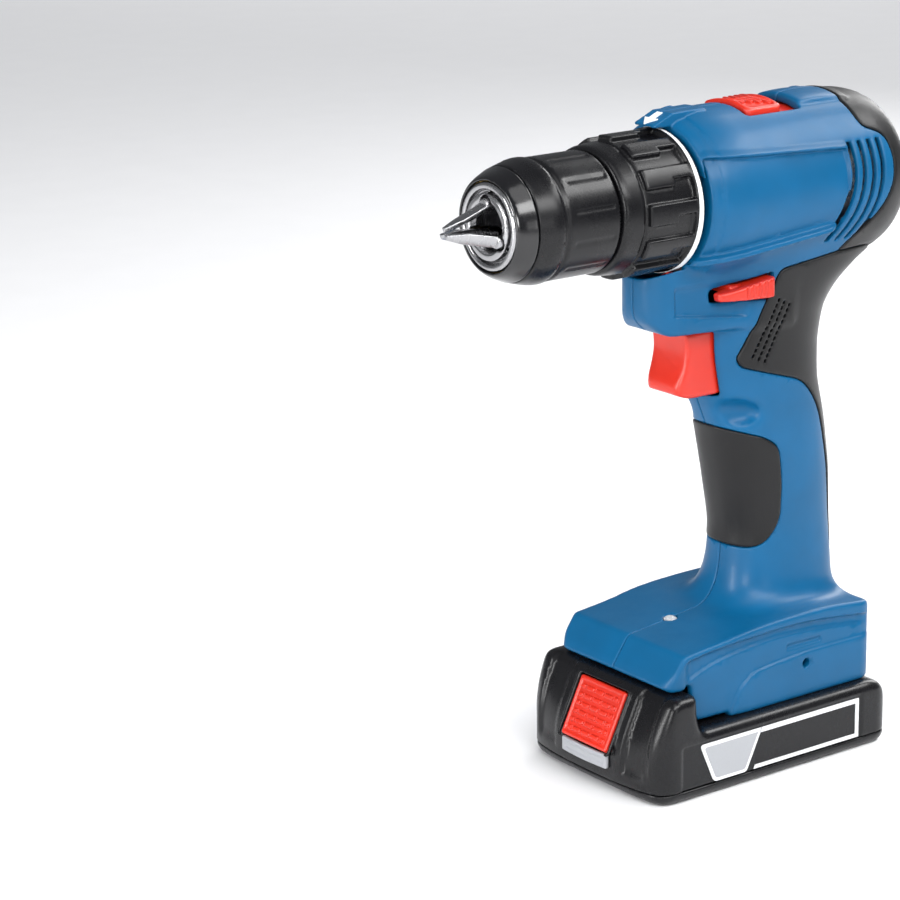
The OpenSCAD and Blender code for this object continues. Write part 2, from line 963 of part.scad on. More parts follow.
module battery_top_case() {
    color(black)
        difference() {
            union() {
                intersection() {
                    batt_solid(0);
                    box([-80, -60, split_z], [80, 60, 60]);
                }
                box([-38, -21.5, 20], [38, 21.5, 31]);
                box([-38, -26, 30], [38, 26, batt_front_h]);
            }
            box([-50.2, -33.5, 4], [50.2, 33.5, 21.8]);
            box([-36, -19.5, 20], [34, 19.5, 28]);
            // terminal slots
            for (y = [-14, 0, 14])
                box([-39, y - 1.4, 30.5], [-24.5, y + 1.4, 38.5]);
            // pocket of the release button and its hook
            release_pocket();
            // seat of the grey insert below the button
            difference() {
                box([front_x - 4, -13.05, 9.15], [front_x + 2, 13.05, 14.95]);
                translate([front_x - 115, 0, 0])
                    cylinder(r = 113.99, h = 30, $fn = 180);
            }
            // label seats
            for (s = [-1, 1])
                label_shape(s, batt_y - 0.5, batt_y + 1, 0.05);
        }
}

slope_a = atan2(batt_front_h - 15, 11.9);

// Work on the sloping front face: local X runs up the slope, local Z points out of the face
module on_slope() {
    translate([front_x, 0, 15])
        rotate([0, slope_a, 0])
            rotate([0, 0, 180])
                children();
}

module release_pocket() {
    on_slope()
        translate([0.5, -13.6, -6.3])
            cube([23.8, 27.2, 12]);
    box([34.9, -8, 28.5], [44.5, 8, 45]);
    box([34.9, -8, 28.5], [50, 8, 35]);
}

module release_button() {
    color(red)
        union() {
            on_slope()
                translate([0.9, -13.2, -2.6])
                    cube([23, 26.4, 3.3]);
            on_slope()
                for (k = [0 : 4])
                    translate([3.6 + 4 * k, -11.4, 0.6])
                        cube([1.3, 22.8, 0.7]);
            box([38, -7.6, 30.6], [41.6, 7.6, deck_z + 1.1]);
            box([38, -7.6, 30.6], [51.6, 7.6, 33]);
        }
}

module front_insert() {
    color(grey)
        intersection() {
            box([front_x - 4, -13, 9.2], [front_x + 1, 13, 14.9]);
            translate([front_x - 115, 0, 0])
                difference() {
                    cylinder(r = 115.2, h = 30, $fn = 180);
                    cylinder(r = 114, h = 30, $fn = 180);
                }
        }
}

module battery_contacts() {
    color(brass)
        for (y = [-14, 0, 14], s = [-1, 1])
            box([-36, y + (s > 0 ? 0.75 : -1.35), 31], [-25, y + (s > 0 ? 1.35 : -0.75), 38]);
}

module battery_cells() {
    color([0.3, 0.55, 0.45])
        for (x = [-39.4 : 19.7 : 39.5])
            translate([x, cell_len / 2, 12.2])
                rotate([90, 0, 0])
                    cylinder(r = cell_r, h = cell_len);
}

module cell_straps() {
    color(steel)
        for (s = [-1, 1])
            for (x = s > 0 ? [-29.55, 9.85] : [-9.85, 29.55])
                box([x - 12, s > 0 ? 32.5 : -32.9, 9.7], [x + 12, s > 0 ? 32.9 : -32.5, 14.7]);
}

// Badge and frame lines on the pack's side wall
module label_shape(s, y0, y1, g) {
    mirror([0, s > 0 ? 0 : 1, 0]) {
        side([[-40 - g, 18.7 - g], [9, 18.7 - g], [15.5 - g, 5.3 - g], [31 + g, 5.3 - g], [37.5 + g, 20.6 + g],
            [-40 - g, 20.6 + g]], y0, y1);
        side([[-40 - g, 5.3 - g], [12 + g, 5.3 - g], [12 + g, 6.9 + g], [-40 - g, 6.9 + g]], y0, y1);
        side([[-40 - g, 5.3 - g], [-38 + g, 5.3 - g], [-38 + g, 19 + g], [-40 - g, 19 + g]], y0, y1);
    }
}

module battery_labels() {
    color([0.8, 0.8, 0.82])
        for (s = [-1, 1])
            label_shape(s, batt_y - 0.5, batt_y + 0.15, 0);
}

left_housing();
right_housing();
front_grip();
rear_grip();
rear_cap();
housing_screws();
led_lens();
collar_pointer();
gearbox_housing();
ring_gear_1();
ring_gear_3();
spindle_bearing();
clutch_spring();
motor_can();
motor_magnets();
brush_holder();
control_board();
switch_body();
terminal_block();
wiring();
output_spindle();
chuck_body();
chuck_screw();
chuck_sleeve();
sleeve_front_ring();
jaw_nut();
jaw_1();
jaw_2();
jaw_3();
torque_collar();
torque_scale();
spring_nut();
gear_selector();
ring_gear_2();
trigger();
direction_lever();
rotor();
cooling_fan();
carrier_1();
carrier_2();
planet_1a();
planet_1b();
planet_1c();
planet_2a();
planet_2b();
planet_2c();
planet_3a();
planet_3b();
planet_3c();
battery_top_case();
battery_bottom_case();
battery_cells();
cell_straps();
battery_contacts();
battery_labels();
front_insert();
release_button();
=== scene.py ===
import json
import math
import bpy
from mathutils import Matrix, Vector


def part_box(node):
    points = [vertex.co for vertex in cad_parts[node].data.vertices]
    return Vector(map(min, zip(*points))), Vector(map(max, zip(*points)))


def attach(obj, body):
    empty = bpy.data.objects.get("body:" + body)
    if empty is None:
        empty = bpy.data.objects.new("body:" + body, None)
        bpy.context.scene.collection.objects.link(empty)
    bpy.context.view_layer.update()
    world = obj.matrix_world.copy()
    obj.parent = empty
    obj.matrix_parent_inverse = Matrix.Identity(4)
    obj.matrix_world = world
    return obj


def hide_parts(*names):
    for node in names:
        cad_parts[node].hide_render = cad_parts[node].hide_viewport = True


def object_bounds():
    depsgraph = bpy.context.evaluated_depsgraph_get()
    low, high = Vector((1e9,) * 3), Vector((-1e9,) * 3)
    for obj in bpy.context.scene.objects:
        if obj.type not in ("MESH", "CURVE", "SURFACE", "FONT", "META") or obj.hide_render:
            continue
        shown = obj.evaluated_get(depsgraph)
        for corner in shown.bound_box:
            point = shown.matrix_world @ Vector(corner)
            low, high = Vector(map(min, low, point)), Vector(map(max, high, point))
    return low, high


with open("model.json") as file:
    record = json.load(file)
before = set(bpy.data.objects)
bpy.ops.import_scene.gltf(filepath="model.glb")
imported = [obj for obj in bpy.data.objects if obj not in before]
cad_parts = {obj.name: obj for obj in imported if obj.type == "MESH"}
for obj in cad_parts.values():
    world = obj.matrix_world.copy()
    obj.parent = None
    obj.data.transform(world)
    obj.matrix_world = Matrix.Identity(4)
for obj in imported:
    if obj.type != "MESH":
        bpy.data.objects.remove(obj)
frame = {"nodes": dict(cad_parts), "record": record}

from concurrent.futures import ThreadPoolExecutor
import bpy
import bmesh
import numpy as np
import openvdb as vdb
from mathutils import Matrix, Vector

CAD_BOX = [list(v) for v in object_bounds()]
MM = 0.001
F = np.float32


def nb(node):
    """Lowest and highest corner of a CAD node, in millimetres."""
    lo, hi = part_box(node)
    return np.array(lo) / MM, np.array(hi) / MM


# Driving sizes in millimetres, read from the frame
lo_cap, hi_cap = nb("rear_cap")
ZC = float((lo_cap[2] + hi_cap[2]) / 2)          # height of the drilling axis
HEAD_R = float((hi_cap[2] - lo_cap[2]) / 2)      # barrel radius
REAR_X = float(lo_cap[0])
hi_h = nb("left_housing")[1]
FOOT_HW = float(hi_h[1])                         # half width of the foot
FOOT_FRONT = float(hi_h[0])
lo_b, hi_b = nb("battery_top_case")
BATT_REAR = float(lo_b[0])
BATT_FRONT = float(hi_b[0])
BATT_HW = float(hi_b[1])                         # half width of the pack
BATT_TOP = float(hi_b[2])
lo_c, hi_c = nb("torque_collar")
COL0 = float(lo_c[0])                            # rear face of the collar
COL_R = float(hi_c[2] - ZC)
HEAD_FRONT = COL0 - 0.6
JAW_TIP = float(nb("jaw_1")[1][0])
NOSE_X = float(nb("chuck_body")[1][0])           # front face of the chuck

# Sizes that no single node of the frame gives, taken from the CAD
FOOT_REAR = -52.0
JAW_A = math.radians(17)                         # slant of the jaws

# ---------------------------------------------------------------- distance fields


def smin(a, b, k):
    """The smaller of two distances, blended over a width of k."""
    h = np.clip(0.5 + 0.5 * (b - a) / k, 0, 1)
    return b * (1 - h) + a * h - k * h * (1 - h)


def smax(a, b, k):
    """The larger of two distances, blended over a width of k."""
    return -smin(-a, -b, k)


def step(t):
    """0 below t = 0, 1 above t = 1, and a smooth ramp between them."""
    t = np.clip(t, 0, 1)
    return t * t * (3 - 2 * t)


def poly(P, A, B):
    """Signed distance to a closed outline, negative inside; A and B broadcast together."""
    A, B = np.broadcast_arrays(A, B)
    P = np.asarray(P, A.dtype)
    Q = np.roll(P, 1, 0)
    if A.size * len(P) < 12000:
        shape = (len(P),) + (1,) * A.ndim
        ax, az = Q[:, 0].reshape(shape), Q[:, 1].reshape(shape)
        ex, ez = (P - Q)[:, 0].reshape(shape), (P - Q)[:, 1].reshape(shape)
        wx, wz = A - ax, B - az
        t = np.clip((wx * ex + wz * ez) / (ex * ex + ez * ez + 1e-12), 0, 1)
        d = ((wx - ex * t) ** 2 + (wz - ez * t) ** 2).min(0)
        over = ((B < az) != (B < P[:, 1].reshape(shape))) & (wx * np.abs(ez) < ex * wz * np.sign(ez))
        inside = np.count_nonzero(over, axis=0) % 2 == 1
        return np.where(inside, -np.sqrt(d), np.sqrt(d))
    d = np.full(A.shape, 1e12, A.dtype)
    inside = np.zeros(A.shape, bool)
    for (ax, az), (bx, bz) in zip(Q, P):
        ex, ez = bx - ax, bz - az
        wx, wz = A - ax, B - az
        if ex == 0 and ez == 0:
            continue
        t = (wx * ex + wz * ez) / (ex * ex + ez * ez)
        np.clip(t, 0, 1, out=t)
        np.minimum(d, (wx - ex * t) ** 2 + (wz - ez * t) ** 2, out=d)
        if ez != 0:
            inside ^= ((B < az) != (B < bz)) & (wx * abs(ez) < ex * wz * np.sign(ez))
    d = np.sqrt(d)
    return np.where(inside, -d, d)


class Turned:
    """Distance to an outline in x and radius, looked up in a fine table."""

    def __init__(self, P, h=0.12, grow=5.0):
        P = np.asarray(P, float)
        self.h, self.x0 = h, P[:, 0].min() - grow
        x = np.arange(self.x0, P[:, 0].max() + grow, h)
        r = np.arange(0, P[:, 1].max() + grow, h)
        self.T = poly(P, x[:, None], r[None, :]).astype(F)

    def __call__(self, X, R):
        nx, nr = self.T.shape
        a = np.clip((X - self.x0) / self.h, 0, nx - 1.01).astype(F)
        b = np.clip(R / self.h, 0, nr - 1.01).astype(F)
        i, j = a.astype(np.int32), b.astype(np.int32)
        a, b = a - i, b - j
        k = i * nr + j
        flat = self.T.reshape(-1)
        low = flat[k] * (1 - b) + flat[k + 1] * b
        k += nr
        return low * (1 - a) + (flat[k] * (1 - b) + flat[k + 1] * b) * a


def smooth(P, k):
    """An open Catmull-Rom curve through the points, with k steps between each two."""
    P = np.array(P, float)
    n = len(P)
    out = []
    for i in range(n - 1):
        p0, p1, p2, p3 = (P[min(max(j, 0), n - 1)] for j in (i - 1, i, i + 1, i + 2))
        for s in np.arange(k) / k:
            out.append(0.5 * (2 * p1 + (p2 - p0) * s + (2 * p0 - 5 * p1 + 4 * p2 - p3) * s * s
                              + (3 * p1 - p0 - 3 * p2 + p3) * s ** 3))
    out.append(P[-1])
    return np.array(out)


def rounded(P, r, k=6):
    """An outline with its corners rounded by r (one number or one per corner)."""
    P = np.array(P, float)
    n = len(P)
    r = np.broadcast_to(np.array(r, float), (n,))
    out = []
    for i in range(n):
        a, b, c = P[i - 1], P[i], P[(i + 1) % n]
        if r[i] <= 0:
            out.append(b)
            continue
        u, v = (a - b), (c - b)
        lu, lv = np.linalg.norm(u), np.linalg.norm(v)
        u, v = u / lu, v / lv
        m = min(r[i], 0.48 * lu, 0.48 * lv)
        for s in np.linspace(0, 1, k):
            out.append((1 - s) ** 2 * (b + u * m) + 2 * s * (1 - s) * b + s * s * (b + v * m))
    return np.array(out)


def rrect(A, B, a0, a1, b0, b1, r):
    """Rounded rectangle distance in the plane of A and B."""
    qa = np.abs(A - (a0 + a1) / 2) - (a1 - a0) / 2 + r
    qb = np.abs(B - (b0 + b1) / 2) - (b1 - b0) / 2 + r
    return np.sqrt(np.maximum(qa, 0) ** 2 + np.maximum(qb, 0) ** 2) + np.minimum(np.maximum(qa, qb), 0) - r


def rbox(X, Y, Z, lo, hi, r):
    """Distance to a box from corner lo to corner hi, with edges rounded by r."""
    q = [np.abs(V - (l + h) / 2) - (h - l) / 2 + r for V, l, h in zip((X, Y, Z), lo, hi)]
    out = np.sqrt(np.maximum(q[0], 0) ** 2 + np.maximum(q[1], 0) ** 2 + np.maximum(q[2], 0) ** 2)
    return out + np.minimum(np.maximum(np.maximum(q[0], q[1]), q[2]), 0) - r


def sample(V, p):
    """Values of the grid V at points p in cell units, interpolated between the cells."""
    p = np.clip(p, 0, np.array(V.shape) - 1.001)
    i = p.astype(np.int32)
    t = (p - i).astype(F)
    flat = V.reshape(-1)
    sx, sy = V.shape[1] * V.shape[2], V.shape[2]
    k = i[:, 0] * sx + i[:, 1] * sy + i[:, 2]
    out = 0
    for dx in (0, 1):
        for dy in (0, 1):
            for dz in (0, 1):
                w = t[:, 0] if dx else 1 - t[:, 0]
                w = w * (t[:, 1] if dy else 1 - t[:, 1])
                w = w * (t[:, 2] if dz else 1 - t[:, 2])
                out = out + w * flat[k + dx * sx + dy * sy + dz]
    return out


POOL = ThreadPoolExecutor(4)
SLAB_CELLS = 30000        # cells handed to a thread at a time
BAND_CELLS = 3            # half width of the narrow band kept for the mesher
NORMAL_STEP = 0.6         # cells either side, for the field's gradient


def sdf_mesh(name, f, lo, hi, h, flat):
    """Meshes the zero level of f(X, Y, Z) on a grid of step h, with normals taken from the field."""
    lo = np.floor(np.array(lo, float) / h).astype(int) - 1
    count = np.ceil(np.array(hi, float) / h).astype(int) + 2 - lo
    x, y, z = (((lo[j] + np.arange(count[j])) * h).astype(F) for j in range(3))
    V = np.empty(tuple(count), F)
    slab = max(1, int(SLAB_CELLS // (count[1] * count[2])))

    def fill(i):
        V[i:i + slab] = f(x[i:i + slab, None, None], y[None, :, None], z[None, None, :])

    list(POOL.map(fill, range(0, count[0], slab)))
    grid = vdb.FloatGrid(float(BAND_CELLS * h))
    grid.copyFromArray(np.clip(V, -BAND_CELLS * h, BAND_CELLS * h))
    pts, tris, quads = grid.convertToPolygons(isovalue=0.0, adaptivity=flat)
    g = np.empty_like(pts)
    for j in range(3):
        e = np.zeros(3, F)
        e[j] = NORMAL_STEP
        g[:, j] = sample(V, pts + e) - sample(V, pts - e)
    g /= np.maximum(np.linalg.norm(g, axis=1, keepdims=True), 1e-9)
    p = (pts + lo) * h
    corners = np.concatenate([quads[:, ::-1].reshape(-1), tris[:, ::-1].reshape(-1)]).astype(np.int32)
    sizes = np.concatenate([np.full(len(quads), 4), np.full(len(tris), 3)]).astype(np.int32)
    me = bpy.data.meshes.new(name)
    me.vertices.add(len(p))
    me.vertices.foreach_set("co", (p * MM).astype(F).reshape(-1))
    me.loops.add(len(corners))
    me.loops.foreach_set("vertex_index", corners)
    me.polygons.add(len(sizes))
    me.polygons.foreach_set("loop_start", (np.cumsum(sizes) - sizes).astype(np.int32))
    me.update(calc_edges=True)
    # the mesher may wind its faces either way, so they are compared with the field's own normals
    normal = np.zeros(len(sizes) * 3, F)
    me.polygons.foreach_get("normal", normal)
    if (normal.reshape(-1, 3) * g[corners[np.cumsum(sizes) - sizes]]).sum() < 0:
        me.flip_normals()
    me.shade_smooth()
    me.normals_split_custom_set_from_vertices(g.astype(F))
    ob = bpy.data.objects.new(name, me)
    bpy.context.scene.collection.objects.link(ob)
    print(name, len(p), "vertices", 2 * len(quads) + len(tris), "triangles")
    return ob


def add(ob, body, nodes, mat):
    """Gives a piece its material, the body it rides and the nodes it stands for."""
    ob.data.materials.clear()
    ob.data.materials.append(mat)
    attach(ob, body)
    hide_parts(*nodes)
    return ob


def make(name, verts, faces):
    """A flat-shaded mesh from points in millimetres."""
    me = bpy.data.meshes.new(name)
    me.from_pydata([tuple(float(c) * MM for c in v) for v in verts], [], faces)
    me.update()
    bm = bmesh.new()
    bm.from_mesh(me)
    bmesh.ops.remove_doubles(bm, verts=bm.verts, dist=1e-7)
    bmesh.ops.recalc_face_normals(bm, faces=bm.faces)
    bm.to_mesh(me)
    bm.free()
    ob = bpy.data.objects.new(name, me)
    bpy.context.scene.collection.objects.link(ob)
    return ob


def finish_edges(ob, width, angle, seg):
    """Bevels the sharp edges and weights the normals, with the modifiers applied."""
    b = ob.modifiers.new("bevel", "BEVEL")
    b.width = width * MM
    b.segments = seg
    b.limit_method = "ANGLE"
    b.angle_limit = math.radians(angle)
    b.harden_normals = True
    w = ob.modifiers.new("wn", "WEIGHTED_NORMAL")
    w.keep_sharp = True
    bpy.context.view_layer.update()
    dg = bpy.context.evaluated_depsgraph_get()
    me = bpy.data.meshes.new_from_object(ob.evaluated_get(dg))
    ob.modifiers.clear()
    ob.data = me
    return ob


# ---------------------------------------------------------------- outer form of the tool

HEAD = rounded([(-74.0, -50), (-74.0, 17.6), (-71.6, 22.6), (-66.5, 28.4), (-58.0, 31.0), (12.0, 31.0),
                (23.4, 28.9), (HEAD_FRONT, 27.3), (HEAD_FRONT, -50)], [0, 2, 3, 5, 8, 10, 2, 0.8, 0])
BARREL = Turned(HEAD)

# Handle stations: height, centre x, half depth, half width, squareness
STATIONS = np.array([
    [40, -24.0, 27.5, 22.0, 2.8], [58, -25.0, 26.6, 20.5, 2.7], [65, -26.8, 25.0, 19.2, 2.6],
    [71, -27.5, 24.2, 18.6, 2.5], [85, -27.6, 23.5, 17.6, 2.4], [105, -25.5, 25.0, 18.0, 2.4],
    [125, -22.0, 25.2, 18.6, 2.4], [140, -17.0, 26.5, 18.9, 2.4], [155, -15.5, 27.4, 19.2, 2.5],
    [168, -16.5, 28.5, 19.8, 2.6], [177, -20.0, 32.0, 20.8, 2.8], [184, -25.0, 37.0, 22.0, 3.0],
    [190, -28.0, 40.0, 23.0, 3.0], [205, -28.0, 40.0, 23.0, 3.0]])
Z_FINE = np.arange(30, 215, 0.5)
BLUR_REACH = 16
BLUR = np.exp(-0.5 * (np.arange(-BLUR_REACH, BLUR_REACH + 1) / 6.0) ** 2)
BLUR /= BLUR.sum()


def blurred(column):
    """One column of the stations at every height of Z_FINE, smoothed."""
    line = np.interp(Z_FINE, STATIONS[:, 0], STATIONS[:, column])
    return np.convolve(np.pad(line, BLUR_REACH, mode="edge"), BLUR, "valid")


FINE = [blurred(column) for column in range(1, 5)]


def handle(X, Y, Z):
    """The handle: a superellipse at every height, closed off at the top."""
    c, a, b, n = (np.interp(Z, Z_FINE, v).astype(F) for v in FINE)
    u = np.abs(X - c) / a + 1e-4
    v = np.abs(Y) / b + 1e-4
    s = u ** n + v ** n
    r = s ** (1 / n)
    g = np.sqrt((u ** (n - 1) / a) ** 2 + (v ** (n - 1) / b) ** 2) * r / s
    return smax((r - 1) / np.maximum(g, 0.012), Z - 196, 4.0)


FOOT_SIDE = rounded([(FOOT_REAR, 25.6), (36.6, 25.6), (37.4, 40.1), (45.2, 40.1), (FOOT_FRONT, 41.6),
                     (FOOT_FRONT - 8.0, 53.0), (0, 57.0), (-30, 57.0), (FOOT_REAR, 54.6)],
                    [1, 6, 0.6, 0.5, 1.2, 1.4, 20, 20, 4])
CHIN_SIDE = rounded([(-20, 165), (32.0, 165), (39, 172), (39, 197), (-20, 197)], [0, 3, 4, 0, 0])


def foot(X, Y, Z):
    # corner radius: 6.8 low down and at the back, tightening to 3.6 at the top of the front
    tighter = np.interp(Z, [43, 53], [-0.5, -3.2]).astype(F)
    r = 6.8 + step((X - 5) / 20) * (tighter * step((Z - 38) / 3))
    plan = rrect(X, Y, FOOT_REAR, FOOT_FRONT, -FOOT_HW, FOOT_HW, r)
    return smax(plan, poly(FOOT_SIDE, X, Z), 1.8)


def chin(X, Y, Z):
    """The block under the collar, between the barrel and the trigger."""
    w = np.interp(X, [-20, 0, 27, 40], [19.8, 19.2, 13.9, 12.0]).astype(F)
    wide = np.where(X < 27, np.abs(Y) - w, np.sqrt(np.maximum(X - 25, 0) ** 2 + Y * Y) - 14)
    return smax(wide, poly(CHIN_SIDE, X, Z), 2.4)


def mask(P, X, Z, soft):
    """1 inside a side outline and 0 outside it, with a soft border."""
    return step(0.5 - poly(P, X, Z) / soft)


# Side details, as outlines in x and z
LEVER_SLOT = rounded([(15.4, 180.5), (15.4, 175.7), (-9.4, 175.0), (-9.4, 185.0)], 1.2)
PANEL = rounded([(24.6, 229.8), (-37.6, 226.8), (-37.0, 200.4), (27.5, 193.6)], 1.5)
RIDGE = rounded([(24.0, 231.6), (-38.0, 228.6), (-38.0, 226.6), (24.0, 229.6)], 0.6)
CHIN_STEP = rounded([(30.0, 200), (29.4, 172.6), (-6, 169.0), (-14, 168.6), (-14, 200)], 0.5)


def curve(points):
    """An open smooth line through the points."""
    return smooth(points, 8)


# Lines along the foot's side, from the front to the back
FOOT_TOPLINE = curve([(47.0, 43.0), (42.5, 48.6), (38, 50.6), (30, 51.8), (18, 52.9), (-7, 53.9),
                      (-22, 53.4), (-40, 51.6), (-60, 48.8)])
FOOT_MIDLINE = curve([(44.0, 37.0), (38.5, 42.0), (36, 43.8), (28.5, 46.4), (18, 48.7), (5, 50.2),
                      (-9, 50.6), (-28, 49.4), (-60, 45.4)])
FOOT_LOWLINE = curve([(18.6, 25.0), (17.2, 29.0), (14, 34.6), (10, 38.2), (5.4, 40.2), (-13, 42.0),
                      (-30, 42.4), (-60, 42.0)])
BAND = np.vstack([FOOT_TOPLINE, FOOT_MIDLINE[::-1]])
LOWER = np.vstack([FOOT_LOWLINE, [(-60, 20), (16.6, 20)]])
MIDDLE = np.vstack([FOOT_MIDLINE, [(-60, 20), (60, 20), (60, 38)]])

SLOTS = [-39.8, -44.7, -49.3, -53.6]


def vents(X, Y, Z):
    """Four cooling slots in each side of the barrel, swept back at the bottom."""
    d = None
    sweep = 0.010 * np.maximum(222 - Z, 0) ** 2
    for xk in SLOTS:
        q = np.abs(X - xk - sweep) - (1.25 if xk > -40 else 0.95)
        d = q if d is None else np.minimum(d, q)
    return smax(smax(d, np.abs(Z - 211) - 17.6, 0.6), 17 - np.abs(Y), 0.5)


# The black rear shell runs down to this line and joins the rear grip under the barrel
CAP_SIDE = rounded([(-90, 260), (-47.5, 260), (-48.5, 233), (-57.6, 229.5), (-59.4, 222), (-58.6, 213),
                    (-54, 204), (-46, 195), (-39, 188.5), (-41, 182), (-90, 182)],
                   [0, 0, 3, 4, 4, 4, 6, 6, 1, 0, 0])
TAB_SIDE = [(33.4, ZC + 26.4), (33.1, ZC + 27.6), (25, ZC + HEAD_R + 0.1), (10, ZC + HEAD_R + 0.4),
            (10, ZC + 25)]


def outer(X, Y, Z):
    """Outer skin of the tool without its pack: barrel, handle, chin, foot, tab and hump."""
    rho = np.sqrt(Y * Y + (Z - ZC) ** 2)
    barrel = BARREL(X, rho)
    ay = np.abs(Y)
    # relief on the sides of the barrel
    side = step((ay - 12) / 3)
    relief = 1.5 * mask(PANEL, X, Z, 0.9) - 0.9 * mask(RIDGE, X, Z, 1.8)
    # a wedge under the panel, whose face looks up a little
    t = 194.6 + (30 - X) * 0.114 - Z
    wedge = np.clip(t / 3.8, 0, 1) * step((4.4 - t) / 0.8)
    relief = relief - 2.5 * wedge * step((29 - X) / 3) * step((X + 34) / 5)
    barrel = barrel + side * relief + 0.45 * step((X - 18.8) / 0.7)
    d = smin(barrel, handle(X, Y, Z), 3.5)
    d = smin(d, chin(X, Y, Z), 2.5)
    recess = mask(CHIN_STEP, X, Z, 1.1) * step((X + 1 + 0.49 * (Z - 169)) / 6) * step((184 - Z) / 3)
    d = d + 1.1 * recess * step((ay - 8) / 3)
    # hollow under the trigger, where the middle finger lies
    dent = np.sqrt(((X - 10) / 18) ** 2 + ((ay - 16.5) / 9) ** 2 + ((Z - 131.6) / 7.4) ** 2)
    d = smax(d, 5.0 * (1 - dent), 1.6)
    ft = foot(X, Y, Z)
    w = step((ay - 25) / 4)
    ft = ft + w * 2.2 * mask(BAND, X, Z, 1.3) * step((X + 52) / 8) * step((41 - X) / 5)
    ft = ft + w * 1.1 * (1 - mask(LOWER, X, Z, 1.3)) * mask(MIDDLE, X, Z, 0.8) * step((X + 52) / 6)
    d = smin(d, ft, 9.0)
    # indicator tab and the hump behind the selector
    tab = smax(poly(TAB_SIDE, X, Z), ay - 5.6, 0.8)
    d = smin(d, np.maximum(tab, 8 - X), 1.0)
    hump = smax(smax(rho - 32.6 + 0.006 * (X + 38) ** 2, ay - 11.6, 1.2), np.abs(X + 40.4) - 11.8, 1.6)
    d = smin(d, np.maximum(hump, ZC + 20 - Z), 1.2)
    return d


FRONT_GRIP = rounded([(30, 80.5), (-11, 79), (-18.5, 88), (-18.6, 105), (-16.4, 118), (-10.5, 122.2),
                      (5, 127), (30, 131)], [0, 5, 8, 6, 5, 5, 4, 0])
REAR_GRIP = rounded([(-90, 70), (-49, 70), (-46.5, 85), (-42.5, 112), (-36.5, 131), (-27, 141.5),
                     (1, 150), (3.2, 153.4), (-12.4, 185.5), (-39, 188.5), (-90, 189)],
                    [0, 2, 20, 20, 8, 6, 2, 2, 3, 0, 0])


def grooves(X, Z):
    """Three rows of short grooves that follow the front edge of the rear grip."""
    ux, uz = -15.6 / 35.7, 32.1 / 35.7
    along = (X - 3.2) * ux + (Z - 153.4) * uz
    across = -(X - 3.2) * uz + (Z - 153.4) * ux
    d = np.minimum(np.minimum(np.abs(across - 5.2), np.abs(across - 8.0)), np.abs(across - 10.8)) - 0.5
    dash = np.abs(np.mod(along, 2.2) - 1.1) - 0.8
    return smax(smax(d, dash, 0.3), np.abs(along - 14) - 12, 0.4)


WALL = 2.4
DECK_TOP = 42.6
# Places of the housing screws in x and z
SCREWS = [(-48, ZC + 26.1), (14, ZC + 26.1), (-48, ZC - 25.6), (28, 177), (-24, 130), (-24, 97), (-40, 62),
          (32, 49)]


def cavity(Z, d):
    """Space inside the two housings, whose outer skin is at distance d."""
    return smax(d + WALL, DECK_TOP - Z, 1.0)


def housing(X, Y, Z, side):
    """One half of the housing: side is 1 for the left half and -1 for the right."""
    d = outer(X, Y, Z)
    ay = np.abs(Y)
    rho = np.sqrt(Y * Y + (Z - ZC) ** 2)
    full = d
    # the skin is 1.5 lower under the grips and the rear shell
    seat = np.minimum(poly(FRONT_GRIP, X, Z), smax(poly(REAR_GRIP, X, Z), 30.6 - rho, 0.5))
    seat = np.minimum(seat, poly(CAP_SIDE, X, Z))
    d = smax(d, np.minimum(-seat, full + 1.5), 0.5)
    d = np.maximum(d, -cavity(Z, full))
    # openings for the collar, the gearbox's nose, trigger, lever, selector and vents
    d = smax(d, -smax(rho - COL_R - 1.3, HEAD_FRONT - X, 0.3), 0.6)
    d = smax(d, -smax(rho - 16.7, np.abs(X - 25) - 15, 0.3), 0.5)
    d = smax(d, -rbox(X, Y, Z, (2, -10.3, 139), (34, 10.3, 164.8), 2.0), 0.7)
    d = smax(d, -smax(poly(LEVER_SLOT, X, Z), ay - 40, 1), 0.6)
    d = smax(d, -rbox(X, Y, Z, (-28.6, -12.9, 236), (-3.0, 12.9, 256), 1.4), 0.6)
    d = smax(d, -vents(X, Y, Z), 0.7)
    # bay for the pack, and the recess its catch goes up into
    d = smax(d, -rbox(X, Y, Z, (FOOT_REAR + 3.4, -28.7, 15), (60, 28.7, 40), 0.6), 0.4)
    d = smax(d, -rbox(X, Y, Z, (34.9, -8.4, 39), (42, 8.4, 41.9), 0.3), 0.3)
    # accessory screw hole, a narrow slot over it, and the work light's hole
    d = smax(d, -smax(np.sqrt((X + 18) ** 2 + (Z - 38) ** 2) - 1.7, 20 - ay, 0.2), 0.4)
    d = smax(d, -rbox(X, ay, Z, (-26, 31.2, 44.5), (-9, 40, 46.5), 0.6), 0.35)
    d = smax(d, -smax(np.sqrt((X - 20) ** 2 + Y * Y) - 2.7, np.abs(Z - 54) - 6, 0.2), 0.5)
    # rail that the pack slides on
    d = np.minimum(d, rbox(X, ay, Z, (FOOT_REAR + 3, 22.2, 26.3), (30, 29.5, 29.5), 0.5))
    if side < 0:
        for sx, sz in SCREWS:
            hole = smax(np.sqrt((X - sx) ** 2 + (Z - sz) ** 2) - 2.85, 12 + Y, 0.2)
            proud, r = (1.6, 4.9) if sz > ZC else (0, 4.0)
            boss = smax(np.sqrt((X - sx) ** 2 + (Z - sz) ** 2) - r, full - proud, 0.8)
            d = np.minimum(d, np.maximum(boss, 10 + Y))
            d = smax(d, -hole, 0.4)
    # the halves meet at y = 0 along a fine line
    return smax(d, 0.06 - side * Y, 0.35)


GRIP_PROUD = 0.35


